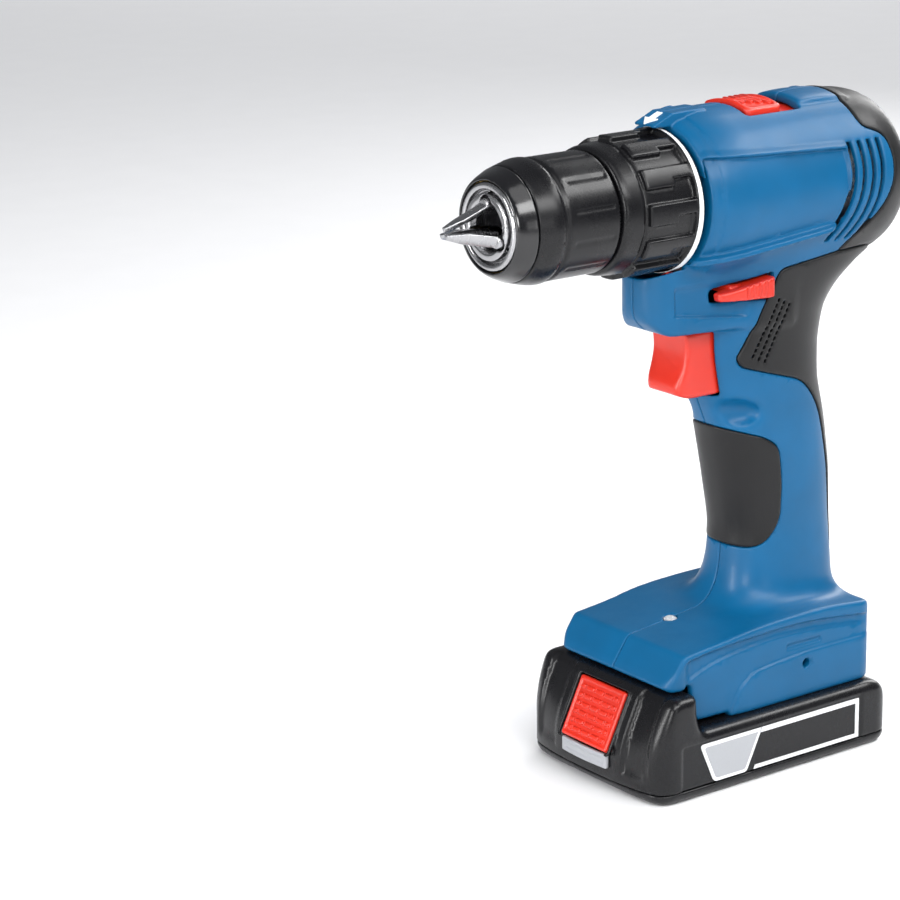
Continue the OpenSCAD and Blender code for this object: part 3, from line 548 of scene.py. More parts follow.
def grip(zone, X, Y, Z):
    """A rubber skin over the housing, inside a side outline and under the barrel."""
    d = outer(X, Y, Z)
    z = smax(poly(zone, X, Z), 31.0 - np.sqrt(Y * Y + (Z - ZC) ** 2), 0.5)
    skin = smax(d - GRIP_PROUD, -(d + 1.4), 0.3)
    return smax(skin, z + 0.22, 0.9)


def front_grip(X, Y, Z):
    """The rubber inlay of the handle's front."""
    return grip(FRONT_GRIP, X, Y, Z)


def rear_grip(X, Y, Z):
    """The rubber down the handle's back, with its grooves."""
    return smax(grip(REAR_GRIP, X, Y, Z), -smax(grooves(X, Z), 6 - np.abs(Y), 0.5), 0.35)


def cap(X, Y, Z):
    """The black shell behind the motor."""
    d = outer(X, Y, Z)
    rho = np.sqrt(Y * Y + (Z - ZC) ** 2)
    z = smax(poly(CAP_SIDE, X, Z), rho - 36, 0.5)
    z = smax(z, -smax(poly(REAR_GRIP, X, Z), 30.6 - rho, 0.5) - 0.15, 0.5)
    skin = smax(d - 0.25, -(d + 2.4), 0.3)
    # a shallow groove round the back
    skin = smax(skin, -smax(smax(np.abs(rho - 22.5) - 0.5, X + 66, 0.3), -0.6 - d, 0.2), 0.3)
    return smax(skin, z + 0.2, 0.9)


# ---------------------------------------------------------------- trigger, lever, selector

TRIGGER_SIDE = rounded([(3.5, 139.9), (19.5, 140.0), (24.6, 141.8), (25.0, 145.0), (22.3, 150.0),
                        (20.9, 156.5), (21.4, 161.5), (22.2, 164.3), (3.5, 164.3)],
                       [3, 3, 1.6, 2.5, 6, 6, 4, 1, 1], 7)


def trigger(X, Y, Z):
    """The trigger's blade, and the stem that enters the switch."""
    plan = rrect(X, Y, 0, 25.4, -9.7, 9.7, 4.2)
    d = smax(poly(TRIGGER_SIDE, X, Z), plan, 1.6)
    # hollow behind the blade
    d = smax(d, -rbox(X, Y, Z, (-4, -8.5, 141.3), (8.9, 8.5, 168), 0.6), 0.3)
    stem = rbox(X, Y, Z, (-8, -3.4, 151), (10, 3.4, 159), 0.6)
    return np.minimum(d, stem)


LEVER_Z = 180.0
LEVER_SIDE = rounded([(14.6, LEVER_Z - 0.5), (14.2, LEVER_Z - 3.4), (-8.3, LEVER_Z - 3.9),
                      (-8.3, LEVER_Z + 3.8)], [0.9, 0.9, 1, 1])


def lever(X, Y, Z):
    """The direction lever: a ribbed wing on each side, and the bar between them."""
    ay = np.abs(Y)
    out = np.interp(X, [-9, -6, 4, 11, 14.6], [23.6, 24.2, 22.9, 21.2, 19.2]).astype(F)
    wing = smax(smax(poly(LEVER_SIDE, X, Z), ay - out, 1.4), 16 - ay, 0.3)
    ridges = np.abs(np.mod(X + 8, 2.6) - 1.3) - 0.45
    wing = smax(wing, -smax(smax(ridges, out - 0.5 - ay, 0.2), np.maximum(-6.5 - X, X - 4.5), 0.2), 0.3)
    bar = rbox(X, Y, Z, (-3, -19, LEVER_Z - 1.6), (9, 19, LEVER_Z + 1.6), 0.4)
    return np.minimum(wing, bar)


def selector(X, Y, Z):
    """The gear selector: a curved plate, its dished pad with four ridges, and the tongue below."""
    rho = np.sqrt(Y * Y + (Z - ZC) ** 2)
    ay = np.abs(Y)
    plate = smax(np.abs(rho - 27.8) - 0.4, rrect(X, ay, -34, 2, -20, 12.6, 0.8), 0.2)
    pad = smax(np.abs(rho - 29.9) - 2.3, rrect(X, Y, -20.4, -4.0, -12.3, 12.3, 2.2), 1.0)
    dish = smax(31.4 - rho, rrect(X, Y, -18.4, -6.0, -10.2, 10.2, 1.6), 0.8)
    pad = smax(pad, -dish, 0.7)
    rows = None
    for k in range(4):
        q = rrect(X + 0.35 * ay, Y, -15.8 + 3.0 * k, -14.6 + 3.0 * k, -8.4 + 0.9 * k, 8.4 - 0.9 * k, 0.5)
        rows = q if rows is None else np.minimum(rows, q)
    ridge = smax(np.abs(rho - 31.3) - 1.2, rows, 0.5)
    tongue = rbox(X, Y, Z, (0.9, -3, ZC + 19), (1.9, 3, ZC + 27.6), 0.2)
    return np.minimum(np.minimum(np.minimum(plate, pad), ridge), tongue)


# ---------------------------------------------------------------- collar and chuck

# Half outlines in x and radius
COLLAR = rounded([(26.6, 21), (26.6, 25.4), (27.3, 25.8), (29.7, 25.8), (30.5, 23.6), (50.8, 23.4),
                  (51.3, 22.6), (52.0, 23.5), (58.4, 22.9), (59.5, 22.4), (60.0, 21.6), (60.0, 8),
                  (57.6, 8), (57.6, 21)],
                 [0.2, 0.4, 0.4, 0.5, 0.5, 0.3, 0.3, 0.4, 0.6, 0.5, 0.5, 0.2, 0.2, 0.2], 4)
COLLAR_SKIN = Turned(COLLAR)


def polar(Y, Z):
    """Radius from the drilling axis, and angle from straight up."""
    return np.sqrt(Y * Y + (Z - ZC) ** 2), np.arctan2(Y, Z - ZC)


def collar(X, Y, Z):
    """The torque collar, with twelve stepped pads round it."""
    rho, al = polar(Y, Z)
    d = COLLAR_SKIN(X, rho)
    w = math.pi / 12
    t = rho * (np.mod(al + w, 2 * w) - w)
    pad = np.minimum(rrect(X, t, 29.0, 50.6, -4.4, 0.5, 0.7), rrect(X, t, 38.0, 50.6, -1.0, 3.1, 0.7))
    pad = smax(pad, rho - COL_R, 0.7)
    return smin(d, smax(pad, 22 - rho, 0.1), 0.5)


SLEEVE = rounded([(60.6, 7), (60.6, 20.9), (61.3, 21.6), (82.7, 21.6), (83.4, 21.1), (84.6, 21.1),
                  (85.1, 22.05), (88, 22.0), (94.5, 20.2), (94.5, 17.6), (91.5, 17.6), (78, 20.5),
                  (62, 20.5), (62, 7)],
                 [0.1, 0.4, 0.5, 0.5, 0.25, 0.25, 0.4, 2, 0.5, 0.2, 0.2, 0.2, 0.2, 0.1], 5)
FRONT_RING = rounded([(94.62, 17.6), (94.62, 19.5), (95.3, 20.1), (99.6, 18.2), (101.2, 17.2), (101.8, 16.4),
                      (101.8, 15.9), (98.6, 15.9), (98.6, 17.6)],
                     [0.1, 0.3, 0.5, 3, 0.6, 0.3, 0.2, 0.1, 0.1], 6)
SLEEVE_SKIN = Turned(SLEEVE)
RING_SKIN = Turned(FRONT_RING, 0.06)


def sleeve(X, Y, Z):
    """The chuck's sleeve, with twelve very shallow flutes."""
    rho, al = polar(Y, Z)
    d = SLEEVE_SKIN(X, rho)
    w = math.pi / 12
    t = rho * (np.mod(al, 2 * w) - w)
    flute = smax(np.sqrt(t * t + (rho - 22.9) ** 2) - 1.55, np.abs(X - 71.5) - 8.6, 0.8)
    return smax(d, -flute, 0.5)


BODY = rounded([(62.4, 6), (80, 6), (80, 7.8), (NOSE_X - 2.0, 7.8), (NOSE_X - 0.4, 9.0), (NOSE_X, 9.6),
                (NOSE_X - 0.3, 11.6), (NOSE_X - 3.2, 12.0), (NOSE_X - 3.2, 12.7), (NOSE_X - 0.9, 13.1),
                (NOSE_X - 0.6, 14.6), (NOSE_X - 1.6, 15.5), (98.2, 15.5), (98.2, 12.7), (91.9, 12.7),
                (91.9, 16.2), (62.4, 16.2)],
               [0.1, 0.1, 0.1, 0.6, 0.4, 0.4, 0.35, 0.2, 0.2, 0.3, 0.5, 0.4, 0.1, 0.1, 0.1, 0.1, 0.3], 5)


CORE = Turned(BODY, 0.06)
NOSE = Turned([(40, -60), (40, 30), (JAW_TIP - 17.5, 30), (JAW_TIP - 16.5, 8.2), (JAW_TIP - 5, 4.3),
               (JAW_TIP, 2.3), (JAW_TIP, -60)], 0.06)
JAW_TIP_R = 2.3           # how far a jaw's own axis is from the drilling axis at its tip


def jaw_axis(X, Y, Z, k):
    """Distance from the slanted axis of jaw k, and the position along it."""
    a = 2 * math.pi * k / 3
    dy, dz = -math.sin(a), math.cos(a)
    px, py, pz = X - JAW_TIP, Y - JAW_TIP_R * dy, Z - ZC - JAW_TIP_R * dz
    ux, ur = math.cos(JAW_A), -math.sin(JAW_A)
    s = px * ux + py * dy * ur + pz * dz * ur
    return np.sqrt((px - s * ux) ** 2 + (py - s * ur * dy) ** 2 + (pz - s * ur * dz) ** 2), s


def chuck_body(X, Y, Z):
    """The chuck's steel body, with a slanted bore for each jaw."""
    d = CORE(X, polar(Y, Z)[0])
    for k in range(3):
        d = smax(d, 3.3 - jaw_axis(X, Y, Z, k)[0], 0.4)
    return d


def jaw(X, Y, Z, k):
    """Jaw k: a slanted rod, cut to a third of a circle in the middle and to a cone at the front."""
    a = 2 * math.pi * k / 3
    rho = polar(Y, Z)[0]
    q, s = jaw_axis(X, Y, Z, k)
    d = smax(q - 2.4, -s - 28 / math.cos(JAW_A), 0.3)
    rad = -math.sin(a) * Y + math.cos(a) * (Z - ZC)
    tan = math.cos(a) * Y + math.sin(a) * (Z - ZC)
    wedge = np.maximum(np.abs(tan) * 0.857 - 0.515 * (rad - 0.24), 0.14 - rad)
    d = smax(d, wedge, 0.12)
    d = smax(d, NOSE(X, rho), 0.35)
    # the thread on the jaw's back, inside the chuck
    wave = 0.5 + 0.5 * np.sin(s * 2 * math.pi / 1.6)
    thread = 0.45 * step((-s - 19) / 2) * step((q - 2.0) / 0.6) * wave
    thread = thread * step((rad * math.cos(JAW_A) - 3) / 2)
    return d + thread * 0.8


# ---------------------------------------------------------------- battery pack

SLOPE_LOW = 15.0          # height where the sloping front starts
SLOPE_RUN = 11.9          # how far back it goes
BOW = 115.0               # radius of the bulged front in plan
SPLIT = 4.6               # height of the line between the two cases
PACK_SIDE = rounded([(BATT_REAR, 0), (BATT_FRONT - 6, 0), (BATT_FRONT, 5.6), (BATT_FRONT, SLOPE_LOW),
                     (BATT_FRONT - SLOPE_RUN, BATT_TOP), (38.2, BATT_TOP), (37.6, 31), (36.2, 26.4),
                     (34.4, 25.2), (-49, 25.2), (BATT_REAR, 21.0)],
                    [2.5, 3, 4, 3, 4, 2, 2, 1, 1, 4, 5])


def bow(X, Y):
    """Distance to the bulged front of the pack."""
    return np.sqrt((X - BATT_FRONT + BOW) ** 2 + Y * Y) - BOW


def pack_outer(X, Y, Z):
    """Outer skin of both cases of the pack, without the block that enters the foot."""
    ay = np.abs(Y)
    plan = smax(rrect(X, Y, BATT_REAR, BATT_FRONT + 2, -BATT_HW, BATT_HW, 9), bow(X, Y), 6)
    d = smax(poly(PACK_SIDE, X, Z), plan, 4.5)
    # the middle of the front stands out between two lower shoulders
    front = step((X - 44) / 6) * step((ay - 18.6) / 1.2) * step((32.5 - ay) / 3)
    d = d + front * 1.3 * step((Z - 7) / 6)
    # the labels' band on the side walls lies a little lower than the rest
    edge = step((ay - 31) / 3)
    band = step(0.5 - rrect(X, Z, -41.5, 46.2, 4.2, 21.6, 1.2) / 0.7)
    return d + edge * 0.35 * band


def pack_tower(X, Y, Z):
    """The block on top of the pack that enters the foot."""
    t = rbox(X, Y, Z, (-38, -21.5, 20), (38, 21.5, 31), 1)
    return np.minimum(t, rbox(X, Y, Z, (-38, -26, 30), (38.4, 26, BATT_TOP), 0.9))


SLOPE = math.atan2(BATT_TOP - SLOPE_LOW, SLOPE_RUN)


def on_slope(X, Y, Z):
    """Coordinates on the sloping front: up the slope, across, and out of it."""
    px, pz = X - BATT_FRONT, Z - SLOPE_LOW
    return (-px * math.cos(SLOPE) + pz * math.sin(SLOPE), Y,
            px * math.sin(SLOPE) + pz * math.cos(SLOPE))


def battery_top(X, Y, Z):
    """The pack's upper case, hollow, with the button's recess and the contacts' slots."""
    d = smin(pack_outer(X, Y, Z), pack_tower(X, Y, Z), 0.6)
    u, v, w = on_slope(X, Y, Z)
    frame_rim = smax(np.abs(rrect(u, v, 0.0, 25.0, -14.4, 14.4, 1.6)) - 0.7, np.abs(w) - 0.55, 0.5)
    d = smin(d, smax(frame_rim, u - 25, 0.4), 0.7)
    d = smax(d, -rbox(u, v, w, (0.5, -13.6, -6.3), (24.3, 13.6, 8), 1.0), 0.5)
    d = smax(d, -rbox(X, Y, Z, (34.9, -8, 28.5), (42.3, 8, 45), 0.5), 0.3)
    d = smax(d, -rbox(X, Y, Z, (34.9, -8, 28.5), (52, 8, 34.6), 0.5), 0.3)
    d = smax(d, -rbox(X, Y, Z, (-50.2, -33.5, 1), (50.2, 33.5, 21.8), 1.0), 0.3)
    d = smax(d, -rbox(X, Y, Z, (-36, -19.5, 20), (34, 19.5, 28), 1.0), 0.3)
    for y in (-14, 0, 14):
        d = smax(d, -rbox(X, Y, Z, (-42, y - 1.4, 30.5), (-24.5, y + 1.4, 38.5), 0.4), 0.3)
    # seat of the grey insert
    d = smax(d, -smax(rrect(Y, Z, -13.1, 13.1, 9.1, 15.0, 0.8), -(bow(X, Y) + 1.3), 0.2), 0.4)
    return smax(d, SPLIT + 0.12 - Z, 0.5)


def battery_bottom(X, Y, Z):
    """The pack's lower case, with four round feet and a shallow pan underneath."""
    d = pack_outer(X, Y, Z)
    ay = np.abs(Y)
    d = smax(d, -rbox(X, Y, Z, (-50.2, -33.5, 2.1), (50.2, 33.5, 20), 1.0), 0.3)
    for x in (-44, 44):
        d = smax(d, -smax(np.sqrt((X - x) ** 2 + (ay - 27) ** 2) - 3, Z - 0.6, 0.2), 0.3)
    pan = rrect(X, Y, -47, 40, -24, 24, 4)
    d = smax(d, -smax(pan, Z - 0.5, 0.2), 0.3)
    return smax(d, Z - SPLIT + 0.12, 0.5)


def button(X, Y, Z):
    """The release button on the slope, its broken ribs, and the hooked catch behind it."""
    u, v, w = on_slope(X, Y, Z)
    d = rbox(u, v, w, (0.9, -13.1, -2.6), (23.9, 13.1, 0.55), 1.0)
    d = d + 0.35 * step(0.5 - rrect(u, v, 2.4, 22.4, -11.6, 11.6, 1.0) / 0.6) * step((w + 0.5) / 0.5)
    rows = None
    for k in range(6):
        q = rrect(u, v, 3.5 + 3.15 * k, 5.0 + 3.15 * k, -10.4, 10.4, 0.5)
        rows = q if rows is None else np.minimum(rows, q)
    notch = np.abs(np.mod(v + 2.6, 5.2) - 2.6) - 2.25
    rib = smax(smax(rows, notch, 0.25), np.abs(w - 0.2) - 0.75, 0.35)
    d = np.minimum(d, rib)
    d = np.minimum(d, rbox(X, Y, Z, (38, -7.6, 30.6), (41.6, 7.6, 41.1), 0.4))
    return np.minimum(d, rbox(X, Y, Z, (38, -7.6, 30.6), (51.6, 7.6, 33), 0.4))


def insert(X, Y, Z):
    """The grey insert under the button, with a dished middle."""
    front = bow(X, Y)
    d = smax(rrect(Y, Z, -12.9, 12.9, 9.3, 14.8, 0.7), np.abs(front + 0.55) - 0.7, 0.4)
    return smax(d, -smax(rrect(Y, Z, -11.0, 11.0, 10.9, 13.2, 0.6), -(front + 0.15), 0.2), 0.3)


def prism(name, outline, y0, y1):
    """A side outline of [x, z] points, extruded in y."""
    n = len(outline)
    v = [(x, y0, z) for x, z in outline] + [(x, y1, z) for x, z in outline]
    f = [tuple(range(n)), tuple(range(2 * n - 1, n - 1, -1))]
    f += [(i, (i + 1) % n, n + (i + 1) % n, n + i) for i in range(n)]
    return make(name, v, f)


def inset(P, d):
    """Moves a convex outline in by d."""
    P = np.array(P, float)
    area = 0.5 * sum(P[i - 1][0] * P[i][1] - P[i][0] * P[i - 1][1] for i in range(len(P)))
    sgn = 1 if area > 0 else -1
    out = []
    n = len(P)
    for i in range(n):
        a, b, c = P[i - 1], P[i], P[(i + 1) % n]
        n1 = np.array([-(b - a)[1], (b - a)[0]]) * sgn / np.linalg.norm(b - a)
        n2 = np.array([-(c - b)[1], (c - b)[0]]) * sgn / np.linalg.norm(c - b)
        m = n1 + n2
        out.append(b + m * d / (1 + n1 @ n2))
    return out


# ---------------------------------------------------------------- materials


class Nodes:
    """A small helper that adds shader nodes and joins them."""

    def __init__(self, name):
        self.mat = bpy.data.materials.new(name)
        self.mat.use_nodes = True
        self.t = self.mat.node_tree
        self.bsdf = self.t.nodes["Principled BSDF"]
        self.co = self.t.nodes.new("ShaderNodeTexCoord").outputs["Object"]

    def put(self, sock, v):
        if isinstance(v, bpy.types.NodeSocket):
            self.t.links.new(v, sock)
        else:
            sock.default_value = v

    def noise(self, scale, detail=3, rough=0.5, co=None):
        n = self.t.nodes.new("ShaderNodeTexNoise")
        n.inputs["Scale"].default_value = scale
        n.inputs["Detail"].default_value = detail
        n.inputs["Roughness"].default_value = rough
        self.t.links.new(co or self.co, n.inputs["Vector"])
        return n.outputs["Fac"]

    def voronoi(self, scale, co=None, feature="F1"):
        n = self.t.nodes.new("ShaderNodeTexVoronoi")
        n.feature = feature
        n.inputs["Scale"].default_value = scale
        self.t.links.new(co or self.co, n.inputs["Vector"])
        return n.outputs["Distance"]

    def scaled(self, x, y, z):
        n = self.t.nodes.new("ShaderNodeMapping")
        n.inputs["Scale"].default_value = (x, y, z)
        self.t.links.new(self.co, n.inputs["Vector"])
        return n.outputs["Vector"]

    def ramp(self, v, a, b, lo=0.0, hi=1.0):
        n = self.t.nodes.new("ShaderNodeMapRange")
        self.put(n.inputs["Value"], v)
        for s, q in zip(("From Min", "From Max", "To Min", "To Max"), (a, b, lo, hi)):
            n.inputs[s].default_value = q
        return n.outputs["Result"]

    def math(self, op, a, b):
        n = self.t.nodes.new("ShaderNodeMath")
        n.operation = op
        self.put(n.inputs[0], a)
        self.put(n.inputs[1], b)
        return n.outputs[0]

    def mix(self, fac, a, b):
        n = self.t.nodes.new("ShaderNodeMix")
        n.data_type = "RGBA"
        self.put(n.inputs["Factor"], fac)
        self.put(n.inputs["A"], (*a, 1) if isinstance(a, tuple) else a)
        self.put(n.inputs["B"], (*b, 1) if isinstance(b, tuple) else b)
        return n.outputs["Result"]

    def bump(self, height, strength, distance, under=None):
        n = self.t.nodes.new("ShaderNodeBump")
        n.inputs["Strength"].default_value = strength
        n.inputs["Distance"].default_value = distance
        self.put(n.inputs["Height"], height)
        if under is not None:
            self.t.links.new(under, n.inputs["Normal"])
        return n.outputs["Normal"]

    def edges(self, lo=0.52, hi=0.62):
        g = self.t.nodes.new("ShaderNodeNewGeometry")
        return self.ramp(g.outputs["Pointiness"], lo, hi)

    def set(self, **kw):
        for k, v in kw.items():
            self.put(self.bsdf.inputs[k.replace("_", " ")], v)
        return self.mat


def tint(c, k):
    return tuple(min(1.0, v * k) for v in c)


def plastic(name, base, rough, grain, depth, wear, wear_tint=1.7, coat=0.0, spread=0.06, shine=0.5):
    """Moulded plastic: fine spark-eroded grain, faint flow variation, slightly paler worn edges."""
    m = Nodes(name)
    flow = m.noise(28, 3, 0.6)
    fine = m.noise(1000 / grain, 2, 0.6)
    smear = m.noise(60, 4, 0.65, m.scaled(1, 1, 0.4))
    col = m.mix(m.ramp(flow, 0.3, 0.7), tint(base, 0.9), tint(base, 1.1))
    edge = m.math("MULTIPLY", m.edges(), m.ramp(m.noise(240, 3, 0.6), 0.35, 0.7, 0.0, wear))
    col = m.mix(edge, col, tuple(min(1, v * wear_tint + 0.02) for v in base))
    rg = m.math("ADD", m.ramp(smear, 0.3, 0.7, rough - spread, rough + spread),
                m.ramp(fine, 0.3, 0.7, -0.03, 0.03))
    return m.set(Base_Color=col, Roughness=rg, Normal=m.bump(fine, 0.3, depth * MM),
                 Specular_IOR_Level=shine, Coat_Weight=coat, Coat_Roughness=0.12)


def rubber(name, base, rough, pebble=0.55, depth=0.05):
    """Soft overmould with a fine leather-like pebble and uneven dust."""
    m = Nodes(name)
    cells = m.voronoi(1000 / pebble)
    fine = m.noise(3600, 2, 0.6)
    dust = m.noise(45, 5, 0.65)
    col = m.mix(m.ramp(dust, 0.35, 0.75), tint(base, 0.85), tint(base, 1.35))
    col = m.mix(m.math("MULTIPLY", m.edges(), 0.25), col, tint(base, 2.6))
    rg = m.ramp(dust, 0.3, 0.7, rough - 0.05, rough + 0.08)
    pebbled = m.bump(cells, 0.4, depth * MM)
    return m.set(Base_Color=col, Roughness=rg, Normal=m.bump(fine, 0.2, 0.01 * MM, pebbled),
                 Specular_IOR_Level=0.3, Sheen_Weight=0.05, Sheen_Roughness=0.5)


def metal(name, base, rough, turned=True, dirt=0.15, lines=0.35, depth=0.008):
    """Machined metal: fine tool marks round the drilling axis (or along it) and faint stains."""
    m = Nodes(name)
    co = m.scaled(1.0, 0.04, 0.04) if turned else m.scaled(0.05, 1.0, 1.0)
    marks = m.noise(9000 * lines, 2, 0.5, co)
    stain = m.noise(120, 5, 0.7)
    col = m.mix(m.ramp(stain, 0.45, 0.75, 0.0, dirt), base, tint(base, 0.45))
    col = m.mix(m.math("MULTIPLY", m.edges(), 0.5), col, tint(base, 1.25))
    rg = m.math("ADD", m.ramp(stain, 0.3, 0.7, rough - 0.05, rough + 0.1),
                m.ramp(marks, 0.3, 0.7, -0.05, 0.05))
    return m.set(Base_Color=col, Roughness=rg, Metallic=1.0, Normal=m.bump(marks, 0.1, depth * MM))


def printed(name, base, rough=0.4):
    """Print or label film: an even colour, slightly mottled."""
    m = Nodes(name)
    ink = m.noise(2600, 3, 0.7)
    col = m.mix(m.ramp(ink, 0.4, 0.7, 0.0, 0.5), base, tint(base, 0.9))
    return m.set(Base_Color=col, Roughness=m.ramp(ink, 0.3, 0.7, rough - 0.05, rough + 0.08),
                 Normal=m.bump(ink, 0.1, 0.01 * MM))


def wound(name, base):
    """Copper windings over stacked laminations."""
    m = Nodes(name)
    stack = m.noise(2400, 2, 0.6, m.scaled(1, 0.02, 0.02))
    wire = m.voronoi(900)
    col = m.mix(m.ramp(stack, 0.45, 0.55), base, (0.32, 0.31, 0.3))
    return m.set(Base_Color=col, Roughness=m.ramp(wire, 0, 0.6, 0.25, 0.5), Metallic=0.9,
                 Normal=m.bump(stack, 0.4, 0.05 * MM, m.bump(wire, 0.3, 0.05 * MM)))


def circuit(name, base):
    """Lacquered board with paler tracks."""
    m = Nodes(name)
    track = m.voronoi(420, m.scaled(1, 1, 0.05), "DISTANCE_TO_EDGE")
    col = m.mix(m.ramp(track, 0.02, 0.06), tint(base, 2.0), base)
    return m.set(Base_Color=col, Roughness=0.32, Normal=m.bump(track, 0.2, 0.03 * MM))


def glass(name):
    """Clear moulded lens with a prismatic surface."""
    m = Nodes(name)
    n = m.noise(900, 2)
    return m.set(Base_Color=m.mix(m.ramp(n, 0.3, 0.7), (0.86, 0.9, 0.95), (0.95, 0.97, 1.0)),
                 Roughness=m.ramp(n, 0.3, 0.7, 0.05, 0.14), Transmission_Weight=0.55,
                 Normal=m.bump(m.voronoi(1400), 0.25, 0.03 * MM))


BLUE = (0.0005, 0.088, 0.212)
MAT = {
    "blue_shell": plastic("blue_shell", BLUE, 0.4, 0.3, 0.012, 0.25, 1.6, 0.05, shine=0.26),
    "black_rubber": rubber("black_rubber", (0.0045, 0.0045, 0.005), 0.38),
    "black_plastic": plastic("black_plastic", (0.005, 0.005, 0.006), 0.28, 0.32, 0.012, 0.3, 4.0, shine=0.32),
    "gloss_black": plastic("gloss_black", (0.004, 0.004, 0.005), 0.19, 0.6, 0.004, 0.3, 4.0, 0.4, 0.04),
    "red_plastic": plastic("red_plastic", (0.56, 0.018, 0.005), 0.36, 0.32, 0.014, 0.3, 1.3, 0.1),
    "grey_plastic": plastic("grey_plastic", (0.30, 0.31, 0.33), 0.4, 0.35, 0.02, 0.3, 1.4),
    "steel": metal("steel", (0.60, 0.60, 0.61), 0.3),
    "dark_steel": metal("dark_steel", (0.17, 0.17, 0.18), 0.35, False),
    "nose_steel": metal("nose_steel", (0.42, 0.42, 0.43), 0.2, True, 0.06, 0.35, 0.002),
    "white_print": printed("white_print", (0.80, 0.82, 0.84)),
    "label_print": printed("label_print", (0.78, 0.79, 0.80), 0.32),
    "lens": glass("lens"),
    "brass": metal("brass", (0.62, 0.44, 0.16), 0.28),
    "copper": wound("copper", (0.62, 0.27, 0.12)),
    "board": circuit("board", (0.02, 0.13, 0.05)),
    "wire_cover": rubber("wire_cover", (0.30, 0.02, 0.02), 0.4, 0.9, 0.01),
    "cell_wrap": plastic("cell_wrap", (0.12, 0.36, 0.28), 0.3, 0.8, 0.01, 0.1),
}
BADGE = printed("badge_grey", (0.36, 0.37, 0.39), 0.34)

for sub in frame["record"]["subparts"]:
    ob = frame["nodes"][sub["node"]]
    ob.data.materials.clear()
    ob.data.materials.append(MAT[sub["material_slot"]])
    ob.data.polygons.foreach_set("material_index", [0] * len(ob.data.polygons))

# ---------------------------------------------------------------- pieces

STEP_SCALE = 1.0
FLATNESS = 0.05                             # how far the mesher may merge nearly flat cells


def field(name, body, nodes, slot, f, lo, hi, h, pad=1.2):
    """Adds the piece of distance field f that lies between corners lo and hi."""
    ob = sdf_mesh(name, f, np.array(lo) - pad, np.array(hi) + pad, h * STEP_SCALE, FLATNESS)
    return add(ob, body, nodes, MAT[slot])


field("left_shell", "drill", ["left_housing"], "blue_shell", lambda X, Y, Z: housing(X, Y, Z, 1),
      (-62, 0, 25), (FOOT_FRONT, FOOT_HW, ZC + 33), 0.5)
field("right_shell", "drill", ["right_housing"], "blue_shell", lambda X, Y, Z: housing(X, Y, Z, -1),
      (-62, -FOOT_HW, 25), (FOOT_FRONT, 0, ZC + 33), 0.5)
field("front_grip_pad", "drill", ["front_grip"], "black_rubber", front_grip,
      (-20, -19, 78), (6, 19, 130), 0.45)
field("rear_grip_pad", "drill", ["rear_grip"], "black_rubber", rear_grip,
      (-68, -24, 69), (5, 24, 191), 0.45)
field("rear_shell", "drill", ["rear_cap"], "black_rubber", cap,
      (REAR_X, -HEAD_R, ZC - HEAD_R), (-38, HEAD_R, ZC + HEAD_R), 0.5)
field("trigger_blade", "trigger_unit", ["trigger"], "red_plastic", trigger,
      (-8, -9.7, 139), (25, 9.7, 165), 0.35)
field("lever_bar", "direction", ["direction_lever"], "red_plastic", lever,
      (-9, -24.6, 176), (15, 24.6, 184.5), 0.35)
field("speed_selector", "selector", ["gear_selector"], "red_plastic", selector,
      (-34, -12.7, ZC + 18), (2.5, 12.7, ZC + 33), 0.3)
field("collar_ring", "collar", ["torque_collar"], "black_plastic", collar,
      (26, -26, ZC - 26), (60, 26, ZC + 26), 0.38)
field("sleeve_grip", "sleeve", ["chuck_sleeve"], "black_plastic", sleeve,
      (60, -22.2, ZC - 22.2), (95, 22.2, ZC + 22.2), 0.38)
field("sleeve_nose", "sleeve", ["sleeve_front_ring"], "gloss_black",
      lambda X, Y, Z: RING_SKIN(X, polar(Y, Z)[0]),
      (94, -20.5, ZC - 20.5), (102, 20.5, ZC + 20.5), 0.38)
field("chuck_core", "spindle", ["chuck_body"], "nose_steel", chuck_body,
      (62, -16.5, ZC - 16.5), (NOSE_X, 16.5, ZC + 16.5), 0.35)
for k in range(3):
    node = f"jaw_{k + 1}"
    lo, hi = nb(node)
    field(f"jaw_bar_{k + 1}", "jaw_" + "abc"[k], [node], "nose_steel",
          lambda X, Y, Z, k=k: jaw(X, Y, Z, k), lo, hi, 0.2, 0.6)
field("pack_top", "battery", ["battery_top_case"], "black_plastic", battery_top, lo_b, hi_b, 0.5)
field("pack_base", "battery", ["battery_bottom_case"], "black_plastic", battery_bottom,
      (BATT_REAR, -BATT_HW, 0), (BATT_FRONT, BATT_HW, SPLIT), 0.5)
field("pack_button", "release", ["release_button"], "red_plastic", button,
      (36, -13.2, 12), (64, 13.2, 42), 0.3)
field("pack_tag", "battery", ["front_insert"], "grey_plastic", insert,
      (BATT_FRONT - 4, -13, 9), (BATT_FRONT + 0.4, 13, 15), 0.3)

# printed band round the collar, thin over the top and thicker underneath
SCALE_X = 28.5
SCALE_R = 25.83
SCALE_THICK = 0.3
STEPS = 150
verts, faces = [], []
for i in range(STEPS + 1):
    a = math.radians(12 - 222 * i / STEPS)
    w = 0.9 + 1.5 * min(1, i / STEPS * 1.4)
    rear, fore = SCALE_X - w / 2, SCALE_X + w / 2
    inner_r = SCALE_R - SCALE_THICK
    for x, r in ((rear, inner_r), (rear, SCALE_R), (fore, SCALE_R), (fore, inner_r)):
        verts.append((x, -r * math.sin(a), ZC + r * math.cos(a)))
for i in range(STEPS):
    for j in range(4):
        faces.append((4 * i + j, 4 * i + (j + 1) % 4, 4 * i + 4 + (j + 1) % 4, 4 * i + 4 + j))
faces += [(0, 1, 2, 3), (4 * STEPS + 3, 4 * STEPS + 2, 4 * STEPS + 1, 4 * STEPS)]
band = make("collar_scale", verts, faces)
